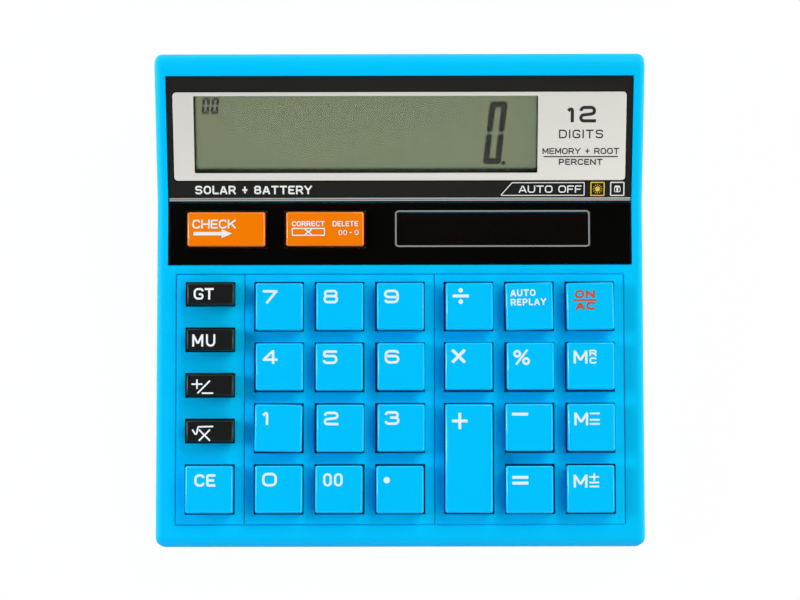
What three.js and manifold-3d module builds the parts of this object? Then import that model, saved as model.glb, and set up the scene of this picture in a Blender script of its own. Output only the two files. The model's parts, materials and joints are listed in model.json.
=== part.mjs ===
// Desk calculator with a sloping key deck and a raised display, built as its separate pieces.
// Millimetres. +X is to the user's right, +Y to the rear, +Z up; the four feet stand on z = 0.
//
// The outer form is one side profile. The key deck and the display slope meet in a crease, and each has
// its own turned group: in the deck group "y" runs to the rear along the deck and "z" is its normal,
// and the display group is the same for the display slope. Both groups have their origin in the crease.
import * as THREE from 'three';
import { mergeVertices } from 'three/addons/utils/BufferGeometryUtils.js';
import Module from 'manifold-3d';

const wasm = await Module();
wasm.setup();

// ---------------------------------------------------------------- driving dimensions

// Case
const footHeight = 1; // the feet lift the case off the table by this much
const wall = 2;
const frontHeight = 12.6; // height of the deck where it would meet the front wall
const deckSlope = THREE.MathUtils.degToRad(5);
const displaySlope = THREE.MathUtils.degToRad(21.5);
const lowerCaseHeight = 6; // from the underside to the parting line
const partingGap = 0.3;
const sideRadius = 2;
const frontRadius = 2.5;
const rearRadius = 3.5;
const bottomRadius = 2.5;
const lipHeight = 1.2; // tongue of the lower case that stands inside the upper case
const lipThickness = 1;

// Keys
const capSize = 12.4;
const smallCapDepth = 5.75;
const capCornerCut = 0.35; // the upright corners of a cap
const capEdge = 0.35; // rounding round the top of a cap
const capHeight = 3.2; // above the deck
const capRoof = 1.4;
const capWall = 1.1;
const keyClearance = 0.4; // cap to well wall
const columnRib = 2.8; // deck between two wells of one row
const rowRib = 2.86; // deck between two rows of wells
const groupGap = 2.15; // extra deck at each of the two engraved dividers
const keyTravel = 1.3;
const collarDepth = 1.2; // the well walls reach this far below the deck
const collarWall = 0.9;
const flangeReach = 0.4; // the flange that keeps a key in its well, past the well wall
const flangeThickness = 0.7;
const flangeChamfer = 1.2;
const plungerSize = 3.6;
const plungerWeb = 1.2;
const plungerReach = 0.2; // plunger below the well walls

// Engraved line frame round the keys
const grooveWidth = 0.5;
const grooveDepth = 0.5;
const grooveSideMargin = 2.45; // outer wells to the line
const grooveRearMargin = 2;
const grooveFrontMargin = 2.7;
const sideBorder = 5.3; // line to the side of the case
const frontBorder = 5.3; // line to the front of the case
const panelToGroove = 2.65;

// Control panel, with the two orange keys and the solar window
const panelBorder = 3.2; // case that shows beside the black panels
const panelDepth = 16.4;
const panelSink = 0.4; // the panels lie this far below the case
const panelThickness = 1.2;
const panelBedWall = 1.6; // case under the control panel
const controlInset = 2.5; // rear edge of the panel to its keys and window
const checkKeyWidth = 20.6;
const checkKeyDepth = 9.1;
const checkKeyGap = 5.55;
const checkKeyHeight = 0.8; // above the deck
const solarGap = 8.3; // second orange key to the solar window
const solarWindowWidth = 51.8;
const solarLedge = 0.9; // case under the edge of the solar window
const solarCellThickness = 1.1;

// Display
const trimDepth = 1.2;
const trimThickness = 1.4;
const bezelFrontBand = 4.37;
const bezelSideBand = 1.55;
const bezelRearBand = 4.1;
const bezelThickness = 1.4;
const rearBorder = 7.25; // bezel to the line where the slope would meet the rear wall
const plateDepth = 23.5;
const plateThickness = 0.4;
const plateRadius = 0.9;
const plateStand = 0.15; // plate above the bezel
const viewWidth = 90.85;
const viewDepth = 20.5;
const viewInsetLeft = 5.4; // left end of the plate to the viewing opening
const viewInsetFront = 2;
const viewRadius = 0.4;
const windowThickness = 0.8;
const windowSink = 0.05; // window below the bed of the bezel
const windowLedge = 1.7; // window past the viewing opening
const ledgeReveal = 0.7; // opening in the case past the viewing opening
const ledgeThickness = 1.05;
const glassThickness = 1.1; // each of the two sheets of the liquid crystal panel
const glassMargin = 1.6; // glass past the viewing opening at the rear and sides
const contactLedge = 2.5; // rear sheet past the front sheet, where the ribbon is bonded
const fenceWall = 1;
const hookReach = 1.3;
const hookThickness = 0.8;
const hookWidth = 6;

// Fits
const seamGap = 0.25; // between trim pieces that lie side by side
const fit = 0.25; // between pieces that lie on each other
const insertGap = 0.3; // between pieces one inside the other

// Key mat and circuit board
const domeStop = 0.9; // height that a pressed dome keeps
const domeBase = 2.8;
const domeTop = 1.4;
const domeSkin = 0.7;
const matWeb = 0.8;
const boardThickness = 1.2;
const boardRearEdge = 1; // board past the crease, to the rear
const stakeRadius = 1.1;
const stakeHeadRadius = 2;
const stakeHeadHeight = 0.8;
const chipRadius = 5;
const chipHeight = 1.4;
const supportRib = 1.2;

// Screws and feet
const screwInset = 4.75; // screw axis from the two case walls
const shankRadius = 1.15;
const screwHeadRadius = 2.3;
const screwHeadHeight = 1.5;
const screwSeat = 3.3; // underside of the case to the face under the screw head
const screwBite = 3.2; // screw past the parting line
const upperBossRadius = 3;
const lowerBossRadius = 3.6;
const footRadius = 4.5;
const footSink = 0.8;
const footInsetX = 16;
const footInsetY = 13;

// Battery bay in the underside
const cellRadius = 5.8;
const cellHeight = 5.4;
const bayX = 30;
const bayFromRear = 19; // bay axis to the rear wall
const bayWall = 1.3;
const contactStrip = 0.4;
const contactWidth = 4.4;
const doorHalfWidth = 10;
const doorThickness = 1.6;
const doorFront = 9; // door past the bay axis, to the front
const doorUpstand = 4; // height of the door's rear wall
const doorTongue = 1.2;
const doorTongueThickness = 0.6;
const gripGrooves = 4;
const gripPitch = 1.6;
const wireRadius = 0.5;

// ---------------------------------------------------------------- derived sizes and places

const wellSize = capSize + 2 * keyClearance;
const smallWellDepth = smallCapDepth + 2 * keyClearance;
const columnPitch = wellSize + columnRib;
const rowPitch = wellSize + rowRib;
const columns = [-3, -2, -1, 0, 1, 2, 3].map((step) => {
  const groupShift = step === -3 ? -groupGap : step > 0 ? groupGap : 0;
  return step * columnPitch + groupShift;
});
const outerColumn = Math.max(...columns);
const dividers = [(columns[0] + columns[1]) / 2, (columns[3] + columns[4]) / 2];

// Distances along the deck, measured from the crease to the front
const panelRear = seamGap / 2;
const panelFront = panelRear + panelDepth;
const grooveRear = panelFront + panelToGroove;
const firstRow = grooveRear + grooveRearMargin + wellSize / 2;
const rows = [0, 1, 2, 3].map((row) => firstRow + row * rowPitch);
const lastRow = rows[3];
const smallPitch = (lastRow - firstRow) / 4;
const smallRows = [0, 1, 2, 3].map((row) => firstRow - (wellSize - smallWellDepth) / 2 + row * smallPitch);
const grooveFront = lastRow + wellSize / 2 + grooveFrontMargin;
const deckLength = grooveFront + frontBorder;
const controlRow = panelRear + controlInset + checkKeyDepth / 2;

const grooveSide = outerColumn + wellSize / 2 + grooveSideMargin;
const halfWidth = grooveSide + sideBorder;
const panelHalf = halfWidth - panelBorder;
const checkColumns = [0, 1].map(
  (index) => -outerColumn - capSize / 2 + checkKeyWidth / 2 + index * (checkKeyWidth + checkKeyGap),
);
const solarLeft = checkColumns[1] + checkKeyWidth / 2 + solarGap;
const solarRight = solarLeft + solarWindowWidth;

// Distances along the display slope, measured from the crease to the rear
const bezelFront = trimDepth + seamGap;
const plateFront = bezelFront + bezelFrontBand;
const plateRear = plateFront + plateDepth;
const bezelRear = plateRear + bezelRearBand;
const displayLength = bezelRear + rearBorder;
const plateHalf = panelHalf - bezelSideBand;
const viewLeft = -plateHalf + viewInsetLeft;
const viewRight = viewLeft + viewWidth;
const viewFront = plateFront + viewInsetFront;
const viewRear = viewFront + viewDepth;

// The side profile
const underside = footHeight;
const halfDepth = (deckLength * Math.cos(deckSlope) + displayLength * Math.cos(displaySlope)) / 2;
const creaseY = halfDepth - displayLength * Math.cos(displaySlope);
const creaseZ = frontHeight + deckLength * Math.sin(deckSlope);
const parting = underside + lowerCaseHeight;

// Levels below the deck surface
const panelBottom = -panelSink - panelThickness;
const panelBed = panelBottom - fit;
const panelBedBottom = panelBed - panelBedWall;
const collarBottom = -wall - collarDepth;
const flangeTop = collarBottom - insertGap;
const checkFlangeTop = panelBedBottom - insertGap;
const plungerBottom = collarBottom - plungerReach;
const domeHeight = keyTravel + domeStop;
const matTop = plungerBottom - insertGap - domeHeight;
const matBottom = matTop - matWeb;
const boardTop = matBottom - insertGap;
const boardBottom = boardTop - boardThickness;

// Levels below the display surface
const bezelTop = -panelSink;
const bezelBottom = bezelTop - bezelThickness;
const plateTop = bezelTop + plateStand;
const plateBottom = plateTop - plateThickness;
const displayBed = bezelBottom - fit;
const windowTop = displayBed - windowSink;
const windowBottom = windowTop - windowThickness;
const ledgeTop = windowBottom - fit;
const ledgeBottom = ledgeTop - ledgeThickness;
const glassTop = ledgeBottom - fit;
const glassStep = glassTop - glassThickness;
const glassBottom = glassStep - glassThickness;
const glassLeft = viewLeft - glassMargin;
const glassRight = viewRight + glassMargin;
const glassRear = viewRear + glassMargin;
const frontSheetEdge = viewFront - ledgeReveal;
const glassFront = frontSheetEdge - contactLedge;

// Battery bay, in the case's own upright frame
const bayY = halfDepth - bayFromRear;
const doorTop = underside + doorThickness;
const cellBottom = doorTop + insertGap;
const cellTop = cellBottom + cellHeight;
const bayRadius = cellRadius + 0.4;
const leafBottom = cellTop + insertGap;
const leafTop = leafBottom + contactStrip;
const bayCeiling = leafTop + insertGap;
const bayTop = bayCeiling + bayWall;
const tabBottom = bayTop + insertGap;
const tabTop = tabBottom + contactStrip;

// ---------------------------------------------------------------- finishes

const finish = (color, roughness, metalness = 0, extra = {}) =>
  new THREE.MeshStandardMaterial({ color, roughness, metalness, flatShading: true, ...extra });
const blueAbs = finish('#00bef8', 0.45);
const blueAbsLower = finish('#00b6f0', 0.5);
const orangeAbs = finish('#f97e01', 0.4);
const blackAbs = finish('#1b1c1b', 0.45);
const blackAcrylic = finish('#100f0d', 0.12);
const smokedAcrylic = finish('#0a0908', 0.08);
const clearAcrylic = finish('#dfe4da', 0.05, 0, { transparent: true, opacity: 0.3 });
const satinAluminium = finish('#d3d1cd', 0.35, 0.8);
const greyTrim = finish('#9a9997', 0.4, 0.3);
const liquidCrystal = finish('#7a8368', 0.25);
const siliconCell = finish('#1a1216', 0.2, 0.2);
const ribbonFilm = finish('#c8c4b4', 0.5);
const greyRubber = finish('#b9bcb8', 0.8);
const greenBoard = finish('#2f6b45', 0.5);
const blackEpoxy = finish('#141414', 0.3);
const nickelSteel = finish('#bfbfba', 0.3, 1);
const blackRubber = finish('#202020', 0.9);
const redVinyl = finish('#b3201c', 0.5);
const blackVinyl = finish('#1a1a1a', 0.5);

// ---------------------------------------------------------------- making and joining solids

// A closed three.js geometry as a solid that can be joined and cut.
function solid(geometry) {
  const bare = geometry.clone();
  bare.deleteAttribute('normal');
  bare.deleteAttribute('uv');
  const merged = mergeVertices(bare);
  const vertProperties = new Float32Array(merged.attributes.position.array);
  const triVerts = new Uint32Array(merged.index.array);
  return new wasm.Manifold(new wasm.Mesh({ numProp: 3, vertProperties, triVerts }));
}

function geometryOf(shape) {
  const mesh = shape.getMesh();
  const geometry = new THREE.BufferGeometry();
  geometry.setAttribute('position', new THREE.BufferAttribute(new Float32Array(mesh.vertProperties), 3));
  geometry.setIndex(new THREE.BufferAttribute(new Uint32Array(mesh.triVerts), 1));
  geometry.computeVertexNormals();
  return geometry;
}

const join = (...geometries) => geometries.flat(3).map(solid).reduce((sum, part) => sum.add(part));
const cut = (body, ...geometries) => geometries.flat(3).reduce((rest, tool) => rest.subtract(solid(tool)), body);

// A block between two corners.
function block(x0, x1, y0, y1, z0, z1) {
  const geometry = new THREE.BoxGeometry(x1 - x0, y1 - y0, z1 - z0);
  return geometry.translate((x0 + x1) / 2, (y0 + y1) / 2, (z0 + z1) / 2);
}

// An upright cylinder, or a cone where the top radius differs.
function column(x, y, radius, z0, z1, sides = 16, topRadius = radius) {
  const geometry = new THREE.CylinderGeometry(topRadius, radius, z1 - z0, sides);
  return geometry.rotateX(Math.PI / 2).translate(x, y, (z0 + z1) / 2);
}

// A plan outline raised from z0 to z1.
function plate(outline, z0, z1, curveSegments = 2) {
  const geometry = new THREE.ExtrudeGeometry(outline, { depth: z1 - z0, bevelEnabled: false, curveSegments });
  return geometry.translate(0, 0, z0);
}

// A rectangle from corner to corner with round corners.
function roundedRectangle(x0, x1, y0, y1, radius) {
  const outline = new THREE.Shape();
  outline.moveTo(x0 + radius, y0);
  outline.lineTo(x1 - radius, y0);
  outline.absarc(x1 - radius, y0 + radius, radius, -Math.PI / 2, 0);
  outline.lineTo(x1, y1 - radius);
  outline.absarc(x1 - radius, y1 - radius, radius, 0, Math.PI / 2);
  outline.lineTo(x0 + radius, y1);
  outline.absarc(x0 + radius, y1 - radius, radius, Math.PI / 2, Math.PI);
  outline.lineTo(x0, y0 + radius);
  outline.absarc(x0 + radius, y0 + radius, radius, Math.PI, 1.5 * Math.PI);
  return outline;
}

// A rectangle whose corners are cut at 45 degrees, centred on the origin.
function chamferedRectangle(width, depth, chamfer) {
  const x = width / 2;
  const y = depth / 2;
  return new THREE.Shape([
    new THREE.Vector2(x, chamfer - y),
    new THREE.Vector2(x, y - chamfer),
    new THREE.Vector2(x - chamfer, y),
    new THREE.Vector2(chamfer - x, y),
    new THREE.Vector2(-x, y - chamfer),
    new THREE.Vector2(-x, chamfer - y),
    new THREE.Vector2(chamfer - x, -y),
    new THREE.Vector2(x - chamfer, -y),
  ]);
}

// A side-view outline, drawn as (y, z), spread along X from x0 to x1 with its ends rounded.
const sideView = new THREE.Matrix4().makeBasis(
  new THREE.Vector3(0, 1, 0),
  new THREE.Vector3(0, 0, 1),
  new THREE.Vector3(1, 0, 0),
);
function sidePrism(outline, x0, x1, endRadius = 0, curveSegments = 2) {
  const geometry = new THREE.ExtrudeGeometry(outline, {
    depth: x1 - x0 - 2 * endRadius,
    curveSegments,
    bevelEnabled: endRadius > 0,
    bevelThickness: endRadius,
    bevelSize: endRadius,
    bevelOffset: -endRadius,
    bevelSegments: 4,
  });
  return geometry.translate(0, 0, x0 + endRadius).applyMatrix4(sideView);
}

// A closed outline with each corner rounded to its own radius. Corners are [x, y, radius].
function filletedOutline(corners) {
  const outline = new THREE.Shape();
  corners.forEach(([x, y, radius], index) => {
    const here = new THREE.Vector2(x, y);
    const [fromX, fromY] = corners[(index + corners.length - 1) % corners.length];
    const [toX, toY] = corners[(index + 1) % corners.length];
    const back = new THREE.Vector2(fromX, fromY).sub(here).normalize();
    const ahead = new THREE.Vector2(toX, toY).sub(here).normalize();
    const draw = index === 0 ? 'moveTo' : 'lineTo';
    if (radius <= 0) {
      outline[draw](x, y);
      return;
    }
    const halfAngle = Math.acos(back.dot(ahead)) / 2;
    const centre = back.clone().add(ahead).normalize().multiplyScalar(radius / Math.sin(halfAngle)).add(here);
    const start = back.clone().multiplyScalar(radius / Math.tan(halfAngle)).add(here);
    const end = ahead.clone().multiplyScalar(radius / Math.tan(halfAngle)).add(here);
    const startAngle = start.clone().sub(centre).angle();
    const endAngle = end.clone().sub(centre).angle();
    outline[draw](start.x, start.y);
    outline.absarc(centre.x, centre.y, radius, startAngle, endAngle, back.cross(ahead) > 0);
  });
  return outline;
}

// ---------------------------------------------------------------- the two slopes

const deckFrame = new THREE.Matrix4().makeRotationX(deckSlope).setPosition(0, creaseY, creaseZ);
const displayFrame = new THREE.Matrix4().makeRotationX(displaySlope).setPosition(0, creaseY, creaseZ);
const onDeck = (...geometries) => geometries.flat(3).map((geometry) => geometry.applyMatrix4(deckFrame));
const onDisplay = (...geometries) => geometries.flat(3).map((geometry) => geometry.applyMatrix4(displayFrame));

// Height of a plane parallel to the deck, or to the display slope, above a given y.
const deckHeight = (y, level) =>
  creaseZ + ((y - creaseY) * Math.sin(deckSlope) + level) / Math.cos(deckSlope);
const displayHeight = (y, level) =>
  creaseZ + ((y - creaseY) * Math.sin(displaySlope) + level) / Math.cos(displaySlope);

// The line, seen from the side, where a level under the deck meets one under the display slope.
function valley(deckLevel, displayLevel) {
  const turn = Math.sin(displaySlope - deckSlope);
  const y = (deckLevel * Math.cos(displaySlope) - displayLevel * Math.cos(deckSlope)) / turn;
  const z = (deckLevel * Math.sin(displaySlope) - displayLevel * Math.sin(deckSlope)) / turn;
  return [creaseY + y, creaseZ + z];
}

// The whole outer body, drawn in by an inset all round.
function caseBody(inset) {
  const front = inset - halfDepth;
  const rear = halfDepth - inset;
  const bottom = underside + inset;
  const [creaseInsetY, creaseInsetZ] = valley(-inset, -inset);
  const round = (radius) => Math.max(radius - inset, 0);
  const outline = filletedOutline([
    [front, bottom, round(bottomRadius)],
    [rear, bottom, round(bottomRadius)],
    [rear, displayHeight(rear, -inset), round(rearRadius)],
    [creaseInsetY, creaseInsetZ, 0],
    [front, deckHeight(front, -inset), round(frontRadius)],
  ]);
  return sidePrism(outline, inset - halfWidth, halfWidth - inset, round(sideRadius));
}

// Everything above, or below, a level of the upright case.
const farAway = 200;
const above = (z) => block(-farAway, farAway, -farAway, farAway, z, farAway);
const below = (z) => block(-farAway, farAway, -farAway, farAway, -farAway, z);

// ---------------------------------------------------------------- keys

// One entry for each key: its place on the deck and the size of its cap.
const bigKey = (name, columnIndex, rowIndex) => ({
  name,
  x: columns[columnIndex],
  t: rows[rowIndex],
  width: capSize,
  depth: capSize,
});
const deckKeys = [
  bigKey('key_7', 1, 0),
  bigKey('key_8', 2, 0),
  bigKey('key_9', 3, 0),
  bigKey('key_divide', 4, 0),
  bigKey('key_auto_replay', 5, 0),
  bigKey('key_on_ac', 6, 0),
  bigKey('key_4', 1, 1),
  bigKey('key_5', 2, 1),
  bigKey('key_6', 3, 1),
  bigKey('key_multiply', 4, 1),
  bigKey('key_percent', 5, 1),
  bigKey('key_memory_recall', 6, 1),
  bigKey('key_1', 1, 2),
  bigKey('key_2', 2, 2),
  bigKey('key_3', 3, 2),
  bigKey('key_minus', 5, 2),
  bigKey('key_memory_minus', 6, 2),
  bigKey('key_0', 1, 3),
  bigKey('key_00', 2, 3),
  bigKey('key_point', 3, 3),
  bigKey('key_equals', 5, 3),
  bigKey('key_memory_plus', 6, 3),
  bigKey('key_clear_entry', 0, 3),
  {
    name: 'key_plus',
    x: columns[4],
    t: (rows[2] + rows[3]) / 2,
    width: capSize,
    depth: capSize + rowPitch,
  },
];
const smallKeys = ['key_grand_total', 'key_mark_up', 'key_sign', 'key_root'].map((name, index) => ({
  name,
  x: columns[0],
  t: smallRows[index],
  width: capSize,
  depth: smallCapDepth,
}));
const checkKeys = ['key_check', 'key_correct'].map((name, index) => ({
  name,
  x: checkColumns[index],
  t: controlRow,
  width: checkKeyWidth,
  depth: checkKeyDepth,
}));
const deckWells = [...deckKeys, ...smallKeys];

// A hollow cap with its retaining flange and its cross-shaped plunger, centred on its well.
function keyCap(width, depth, top, capFlangeTop) {
  const x = width / 2;
  const y = depth / 2;
  const capFlangeBottom = capFlangeTop - flangeThickness;
  const overhang = keyClearance + flangeReach;
  const skirt = new THREE.ExtrudeGeometry(chamferedRectangle(width, depth, capCornerCut), {
    depth: top - capFlangeBottom - 2 * capEdge,
    bevelThickness: capEdge,
    bevelSize: capEdge,
    bevelOffset: -capEdge,
    bevelSegments: 1,
  }).translate(0, 0, capFlangeBottom + capEdge);
  const flange = plate(
    chamferedRectangle(width + 2 * overhang, depth + 2 * overhang, flangeChamfer),
    capFlangeBottom,
    capFlangeTop,
  );
  const hollow = block(
    capWall - x,
    x - capWall,
    capWall - y,
    y - capWall,
    capFlangeBottom - 1,
    top - capRoof,
  );
  const arm = Math.min(plungerSize, depth - 2 * capWall - 0.6) / 2;
  const rib = plungerWeb / 2;
  const plungerTop = top - capRoof / 2;
  const plunger = join(
    block(-plungerSize / 2, plungerSize / 2, -rib, rib, plungerBottom, plungerTop),
    block(-rib, rib, -arm, arm, plungerBottom, plungerTop),
  );
  return geometryOf(cut(join(skirt, flange), hollow).add(plunger));
}

// The opening for one key, deeper than the deck and its collar.
function keyWell({ x, t, width, depth }) {
  const halfX = width / 2 + keyClearance;
  const halfY = depth / 2 + keyClearance;
  return block(x - halfX, x + halfX, -t - halfY, -t + halfY, flangeTop - 1, capHeight);
}

function keyCollar({ x, t, width, depth }) {
  const halfX = width / 2 + keyClearance + collarWall;
  const halfY = depth / 2 + keyClearance + collarWall;
  return block(x - halfX, x + halfX, -t - halfY, -t + halfY, collarBottom, -wall / 2);
}

// ---------------------------------------------------------------- upper case

// A shallow V, cut from [x0, y0] to [x1, y1] on the deck.
function grooveCutter(x0, y0, x1, y1) {
  const length = Math.hypot(x1 - x0, y1 - y0);
  const section = new THREE.Shape([
    new THREE.Vector2(0, -grooveDepth),
    new THREE.Vector2(grooveWidth, grooveDepth),
    new THREE.Vector2(-grooveWidth, grooveDepth),
  ]);
  const geometry = new THREE.ExtrudeGeometry(section, { depth: length, bevelEnabled: false });
  geometry.rotateX(Math.PI / 2).rotateZ(Math.atan2(y1 - y0, x1 - x0) + Math.PI / 2);
  return geometry.translate(x0, y0, 0);
}

// Posts that pass through the mat and the board, and hold them by their melted heads.
const stakes = [
  [dividers[0], grooveRear - 0.5],
  [dividers[1], grooveRear - 0.5],
  [dividers[0], (rows[0] + rows[1]) / 2],
  [dividers[1], (rows[0] + rows[1]) / 2],
  [dividers[0], (rows[2] + rows[3]) / 2],
  [dividers[1], (rows[2] + rows[3]) / 2],
];

const caseScrews = [
  { name: 'case_screw_front_left', x: screwInset - halfWidth, y: screwInset - halfDepth },
  { name: 'case_screw_front_right', x: halfWidth - screwInset, y: screwInset - halfDepth },
  { name: 'case_screw_rear_left', x: screwInset - halfWidth, y: halfDepth - screwInset },
  { name: 'case_screw_rear_right', x: halfWidth - screwInset, y: halfDepth - screwInset },
];

// The fence that frames the liquid crystal panel, with four hooks under the glass.
function panelFence() {
  const x0 = glassLeft - insertGap;
  const x1 = glassRight + insertGap;
  const y0 = glassFront - insertGap;
  const y1 = glassRear + insertGap;
  const top = (ledgeTop + ledgeBottom) / 2;
  const hookTop = glassBottom - insertGap;
  const hookBottom = hookTop - hookThickness;
  const ribbonClear = 12; // fence left standing at each front corner
  const hookRows = [y0 + hookWidth, y1 - 2 * hookWidth];
  const hooks = hookRows.flatMap((y) => [
    block(x0 - fenceWall, x0, y, y + hookWidth, hookBottom, glassBottom),
    block(x0 - fenceWall, x0 + hookReach, y, y + hookWidth, hookBottom, hookTop),
    block(x1, x1 + fenceWall, y, y + hookWidth, hookBottom, glassBottom),
    block(x1 - hookReach, x1 + fenceWall, y, y + hookWidth, hookBottom, hookTop),
  ]);
  return [
    block(x0 - fenceWall, x0, y0 - fenceWall, y1 + fenceWall, glassBottom - 0.2, top),
    block(x1, x1 + fenceWall, y0 - fenceWall, y1 + fenceWall, glassBottom - 0.2, top),
    block(x0 - fenceWall, x1 + fenceWall, y1, y1 + fenceWall, glassBottom - 0.2, top),
    block(x0 - fenceWall, x0 + ribbonClear, y0 - fenceWall, y0, glassBottom - 0.2, top),
    block(x1 - ribbonClear, x1 + fenceWall, y0 - fenceWall, y0, glassBottom - 0.2, top),
    ...hooks,
  ];
}

function upperCase() {
  const bedWide = panelHalf + 1.2;
  const beds = [
    onDeck(block(-bedWide, bedWide, -panelFront - 1.4, boardRearEdge, panelBedBottom, -wall / 2)),
    onDisplay(block(-bedWide, bedWide, -1, bezelRear + 1.4, ledgeBottom, -wall / 2)),
  ];
  const collars = onDeck(deckWells.map(keyCollar));
  const posts = onDeck(
    stakes.map(([x, t]) => column(x, -t, stakeRadius, boardBottom - fit - stakeHeadHeight, -wall / 2, 10)),
    stakes.map(([x, t]) =>
      column(x, -t, stakeHeadRadius, boardBottom - fit - stakeHeadHeight, boardBottom - fit, 10),
    ),
  );
  const bosses = caseScrews.map(({ x, y }) =>
    column(x, y, upperBossRadius, parting + partingGap, farAway / 4, 14),
  );
  const fence = onDisplay(panelFence());
  const inside = join(beds, collars, posts, bosses, fence).intersect(solid(caseBody(wall / 2)));
  const shell = solid(caseBody(0)).subtract(solid(caseBody(wall))).intersect(solid(above(parting + partingGap)));

  // The sunk bed that the bezel, trim and control panel lie in, in one side view
  const [bedCreaseY, bedCreaseZ] = valley(panelBed, displayBed);
  const deckAway = new THREE.Vector3(0, -panelFront - seamGap, 0);
  const displayAway = new THREE.Vector3(0, bezelRear + seamGap, 0);
  const onSide = (point, level, frame) => {
    const placed = new THREE.Vector3(0, point.y, level).applyMatrix4(frame);
    return new THREE.Vector2(placed.y, placed.z);
  };
  const sunkBed = sidePrism(
    new THREE.Shape([
      onSide(deckAway, panelBed, deckFrame),
      new THREE.Vector2(bedCreaseY, bedCreaseZ),
      onSide(displayAway, displayBed, displayFrame),
      onSide(displayAway, wall, displayFrame),
      new THREE.Vector2(...valley(wall, wall)),
      onSide(deckAway, wall, deckFrame),
    ]),
    -panelHalf - seamGap,
    panelHalf + seamGap,
  );
  const windowPocket = onDisplay(
    block(
      viewLeft - windowLedge - insertGap,
      viewRight + windowLedge + insertGap,
      viewFront - windowLedge - insertGap,
      viewRear + windowLedge + insertGap,
      ledgeTop,
      0,
    ),
  );
  const viewOpening = onDisplay(
    block(
      viewLeft - ledgeReveal,
      viewRight + ledgeReveal,
      viewFront - ledgeReveal,
      viewRear + ledgeReveal,
      ledgeBottom - 1,
      0,
    ),
  );
  const solarOpening = onDeck(
    block(
      solarLeft + solarLedge,
      solarRight - solarLedge,
      -controlRow - checkKeyDepth / 2 + solarLedge,
      -controlRow + checkKeyDepth / 2 - solarLedge,
      panelBedBottom - 1,
      0,
    ),
  );
  const wells = onDeck([...deckWells, ...checkKeys].map(keyWell));
  const frameLines = onDeck(
    grooveCutter(-grooveSide, -grooveFront, grooveSide, -grooveFront),
    grooveCutter(-grooveSide, -grooveRear, grooveSide, -grooveRear),
    [-grooveSide, ...dividers, grooveSide].map((x) => grooveCutter(x, -grooveFront, x, -grooveRear)),
  );
  const pilotHoles = caseScrews.map(({ x, y }) =>
    column(x, y, shankRadius + insertGap, parting - 1, parting + screwBite + insertGap, 12),
  );
  return geometryOf(
    cut(shell.add(inside), sunkBed, windowPocket, viewOpening, solarOpening, wells, frameLines, pilotHoles),
  );
}

// ---------------------------------------------------------------- lower case

const feet = [
  { name: 'foot_front_left', x: footInsetX - halfWidth, y: footInsetY - halfDepth },
  { name: 'foot_front_right', x: halfWidth - footInsetX, y: footInsetY - halfDepth },
  { name: 'foot_rear_left', x: footInsetX - halfWidth, y: halfDepth - footInsetY },
  { name: 'foot_rear_right', x: halfWidth - footInsetX, y: halfDepth - footInsetY },
];

// Ribs on the floor that back the board under the columns of keys.
function boardSupports() {
  const rearEnd = creaseY - (firstRow - wellSize / 2) * Math.cos(deckSlope);
  const frontEnd = creaseY - (lastRow + capSize / 4) * Math.cos(deckSlope);
  const top = boardBottom - insertGap;
  const floor = underside + wall / 2;
  const profile = new THREE.Shape([
    new THREE.Vector2(frontEnd, floor),
    new THREE.Vector2(rearEnd, floor),
    new THREE.Vector2(rearEnd, deckHeight(rearEnd, top)),
    new THREE.Vector2(frontEnd, deckHeight(frontEnd, top)),
  ]);
  const betweenColumns = [1, 2, 4, 5].map((index) => (columns[index] + columns[index + 1]) / 2);
  const lines = [columns[0], ...betweenColumns].map((x) =>
    sidePrism(profile, x - supportRib / 2, x + supportRib / 2),
  );
  const crossHeight = 1.4;
  const crossTies = [rows[0], rows[2]].map((t) => {
    const y = creaseY - t * Math.cos(deckSlope);
    return block(
      columns[0],
      outerColumn,
      y - supportRib / 2,
      y + supportRib / 2,
      floor,
      underside + wall + crossHeight,
    );
  });
  return [...lines, ...crossTies];
}

// Tongues along the four walls, short of the screw bosses in the corners.
function lip() {
  const outX = halfWidth - wall - fit;
  const outY = halfDepth - wall - fit;
  const endX = halfWidth - screwInset - lowerBossRadius - 1;
  const endY = halfDepth - screwInset - lowerBossRadius - 1;
  const top = parting + partingGap + lipHeight;
  const root = parting - 2;
  const foot = wall / 2 + fit;
  const sides = [-1, 1].flatMap((side) => {
    const inner = side * (outX - lipThickness);
    const outer = side * outX;
    const rooted = side * (outX + foot);
    return [
      block(Math.min(inner, outer), Math.max(inner, outer), -endY, endY, root, top),
      block(Math.min(inner, rooted), Math.max(inner, rooted), -endY, endY, root, parting - fit),
    ];
  });
  const front = [
    block(-endX, endX, -outY, -outY + lipThickness, root, top),
    block(-endX, endX, -outY - foot, -outY + lipThickness, root, parting - fit),
  ];
  const rearEnd = bayX - doorHalfWidth - doorTongue - 2;
  const rear = [
    block(-endX, rearEnd, outY - lipThickness, outY, root, top),
    block(-endX, rearEnd, outY - lipThickness, outY + foot, root, parting - fit),
  ];
  return [...sides, ...front, ...rear];
}

const doorFrontY = bayY - doorFront;
const tongueBottom = doorTop - doorTongueThickness;
const railTop = doorTop + fit + 1.4;

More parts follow.
